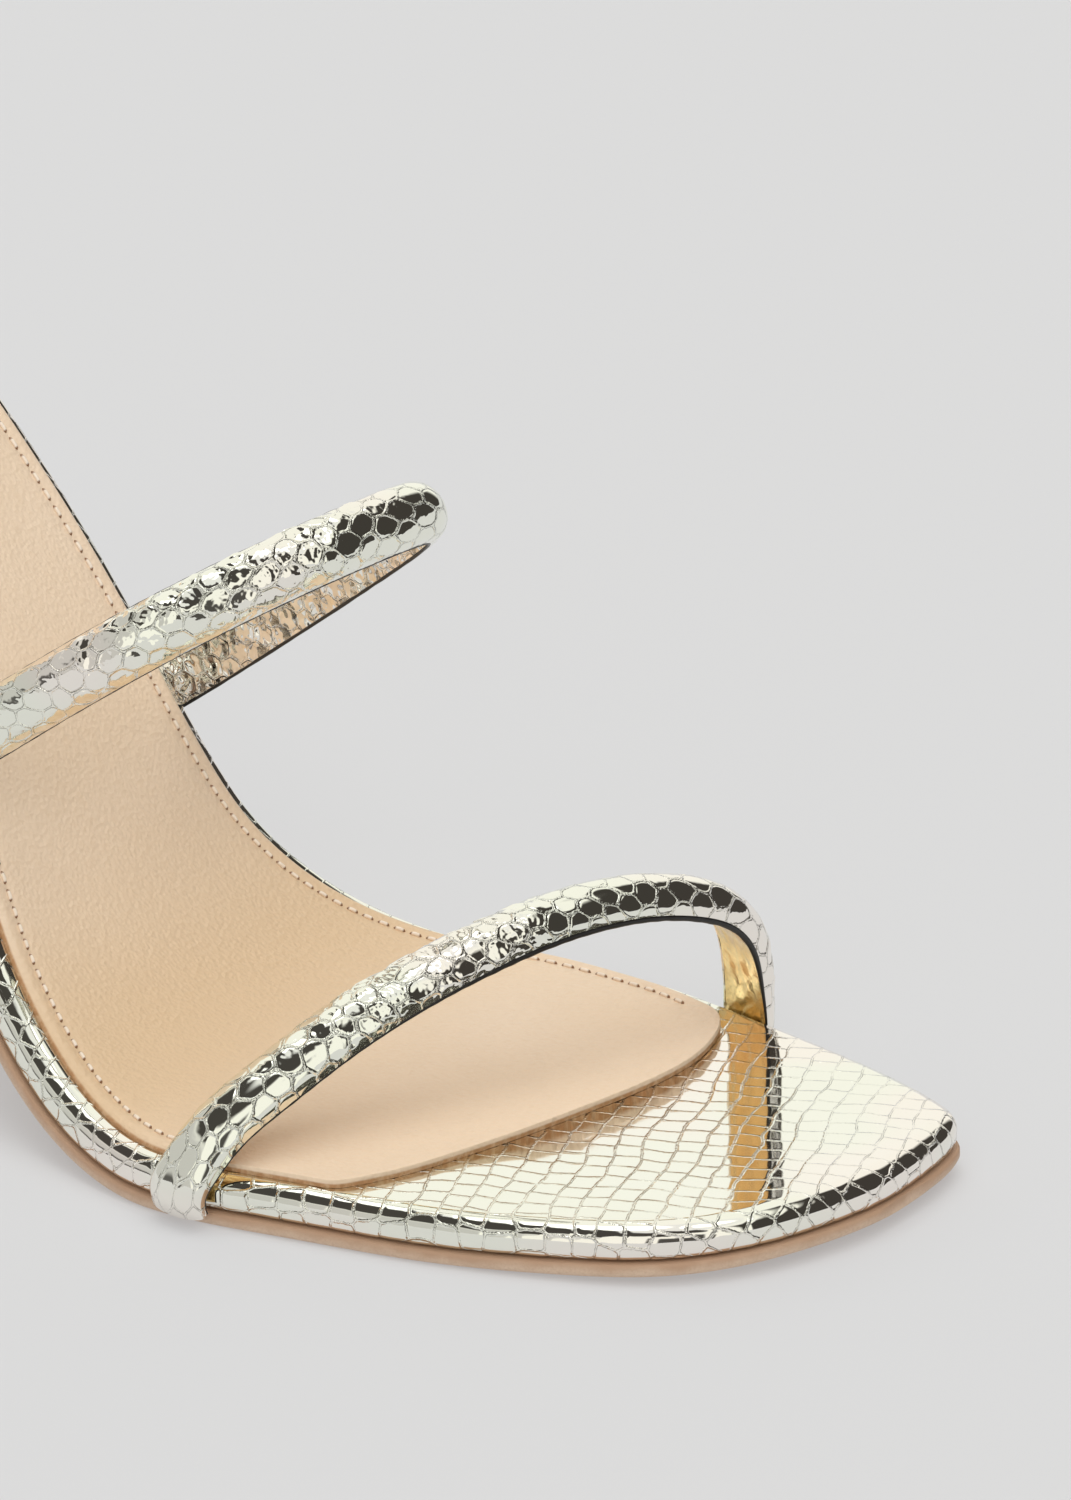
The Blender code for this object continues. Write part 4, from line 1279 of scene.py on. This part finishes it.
heel = make_tube("heel_cover", heel_points + normal * relief[..., None], strap_skin, sharp=50,
                 uv=np.stack([u, v], axis=-1), layers={"hexagon": np.ones(u.shape)})
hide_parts("heel")


def rubber_finish():
    """Hard black rubber with a fine moulded grain."""
    made = Finish("top_piece_rubber")
    return made.give(Base_Color=RUBBER, Roughness=0.55,
                     Normal=made.bump(made.noise(3000.0, 2.0), 0.00008, 0.5))


top_turn = np.linspace(0.0, math.pi, TOP_PIECE_POINTS)
top_rows = []
for share, inset in TOP_PIECE_EDGE:
    plan = tip_section(HEEL_TIP_WIDTH - 2 * inset, HEEL_TIP_DEPTH - 2 * inset, top_turn) + tip_middle
    top_rows.append(np.column_stack([plan, np.full(len(plan), share * TOP_PIECE_THICKNESS)]))
top_piece = make_tube("heel_top_lift", np.stack(top_rows), rubber_finish(), sharp=35)
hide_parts("heel_top_piece")

# Floor and light
# A plain pale floor in a light tent, which the metallic leather mirrors: a grey wall behind the outer
# side, dark panels where the photograph's plates are dark, a pale roof and two small lamps. A broad
# soft sun, which no mirror shows, lights the matte pieces.
FLOOR_SIZE = 8.0
FLOOR_GREY = (0.375, 0.375, 0.378)
FLOOR_GLOW = (0.330, 0.331, 0.337)
BACKDROP = (0.716, 0.716, 0.716)
TENT = (
    # first and last heading (from the inner side towards the toe), lowest and highest height and
    # softness, all in degrees, and light. A later panel hangs in front of an earlier one.
    (-180.0, -78.0, -90.0, 33.0, 5.0, (0.58, 0.57, 0.55)),
    (-152.0, -124.0, -14.0, 9.0, 4.0, (0.110, 0.105, 0.100)),
    (-8.0, 93.0, -90.0, 54.0, 4.0, (0.050, 0.045, 0.040)),
    (118.0, 148.0, -90.0, 34.0, 4.0, (0.080, 0.075, 0.070)),
    (-190.0, -82.0, 35.0, 74.0, 3.0, (0.060, 0.055, 0.050)),
    (108.0, 190.0, 50.0, 74.0, 3.0, (0.060, 0.055, 0.050)),
)
TENT_LIGHT = (0.98, 0.97, 0.90)
HEAVEN_LIGHT = (0.86, 0.86, 0.84)
HEAVEN_START = 64.0
HEAVEN_SOFT = 6.0
LAMPS = (
    # heading, height, radius and softness in degrees
    (-80.0, 73.0, 10.0, 3.0),
    (22.0, 76.0, 7.0, 3.0),
)
LAMP_LIGHT = (2.2, 2.2, 2.15)
SUN_LIGHT = 1.45
SUN_SPREAD = math.radians(80)
SUN_TURN = (math.radians(12), math.radians(16), 0.0)

floor_mesh = bpy.data.meshes.new("studio_floor")
reach = FLOOR_SIZE / 2
floor_mesh.from_pydata([(-reach, -reach, 0), (reach, -reach, 0), (reach, reach, 0), (-reach, reach, 0)],
                       [], [(0, 1, 2, 3)])
floor = bpy.data.objects.new("studio_floor", floor_mesh)
bpy.context.scene.collection.objects.link(floor)
floor_mesh.materials.append(Finish("pale_floor").give(
    Base_Color=FLOOR_GREY, Roughness=0.9, Specular_IOR_Level=0.0, Emission_Color=FLOOR_GLOW,
    Emission_Strength=1.0))


class Sky(Finish):
    """The world's nodes, added by the same short calls as a material's."""

    def __init__(self, name):
        world = bpy.data.worlds.new(name)
        world.use_nodes = True
        bpy.context.scene.world = world
        self.tree = world.node_tree
        self.shader = self.tree.nodes["Background"]

    def dot(self, direction, toward):
        made = self.tree.nodes.new("ShaderNodeVectorMath")
        made.operation = "DOT_PRODUCT"
        self.join(direction, made.inputs[0])
        made.inputs[1].default_value = tuple(float(v) for v in np.array(toward) / np.linalg.norm(toward))
        return made.outputs["Value"]


sky = Sky("light_tent")
way = sky.put("ShaderNodeTexCoord")
up = sky.times(sky.calc("ARCSINE", sky.dot(way, (0.0, 0.0, 1.0))), 180 / math.pi)
parts = sky.put("ShaderNodeSeparateXYZ", Vector=way).node
heading = sky.times(sky.calc("ARCTAN2", parts.outputs[0], parts.outputs[1]), 180 / math.pi)


def window(value, start, end, soft):
    """One between the two values, nothing outside, with soft ends."""
    return sky.times(sky.step(value, start - soft, start + soft),
                     sky.step(value, end - soft, end + soft, 1.0, 0.0))


roof = sky.step(up, HEAVEN_START - HEAVEN_SOFT, HEAVEN_START + HEAVEN_SOFT)
light = sky.mix(roof, TENT_LIGHT, HEAVEN_LIGHT)
for first, last, lowest, highest, soft, tone in TENT:
    panel = sky.times(window(heading, first, last, soft), window(up, lowest, highest, soft))
    light = sky.mix(panel, light, tone)
for turn, climb, radius, soft in LAMPS:
    turn, climb = math.radians(turn), math.radians(climb)
    toward = (math.sin(turn) * math.cos(climb), math.cos(turn) * math.cos(climb), math.sin(climb))
    lamp = sky.step(sky.dot(way, toward), math.cos(math.radians(radius + soft)),
                    math.cos(math.radians(radius - soft)))
    light = sky.mix(lamp, light, LAMP_LIGHT)
seen = sky.put("ShaderNodeLightPath", output=0)
sky.join(sky.mix(seen, light, BACKDROP), sky.shader.inputs["Color"])

sun_data = bpy.data.lights.new("soft_sun", "SUN")
sun_data.energy = SUN_LIGHT
sun_data.angle = SUN_SPREAD
sun = bpy.data.objects.new("soft_sun", sun_data)
sun.rotation_euler = SUN_TURN
sun.visible_glossy = False
bpy.context.scene.collection.objects.link(sun)

bpy.context.scene.view_settings.view_transform = "Standard"
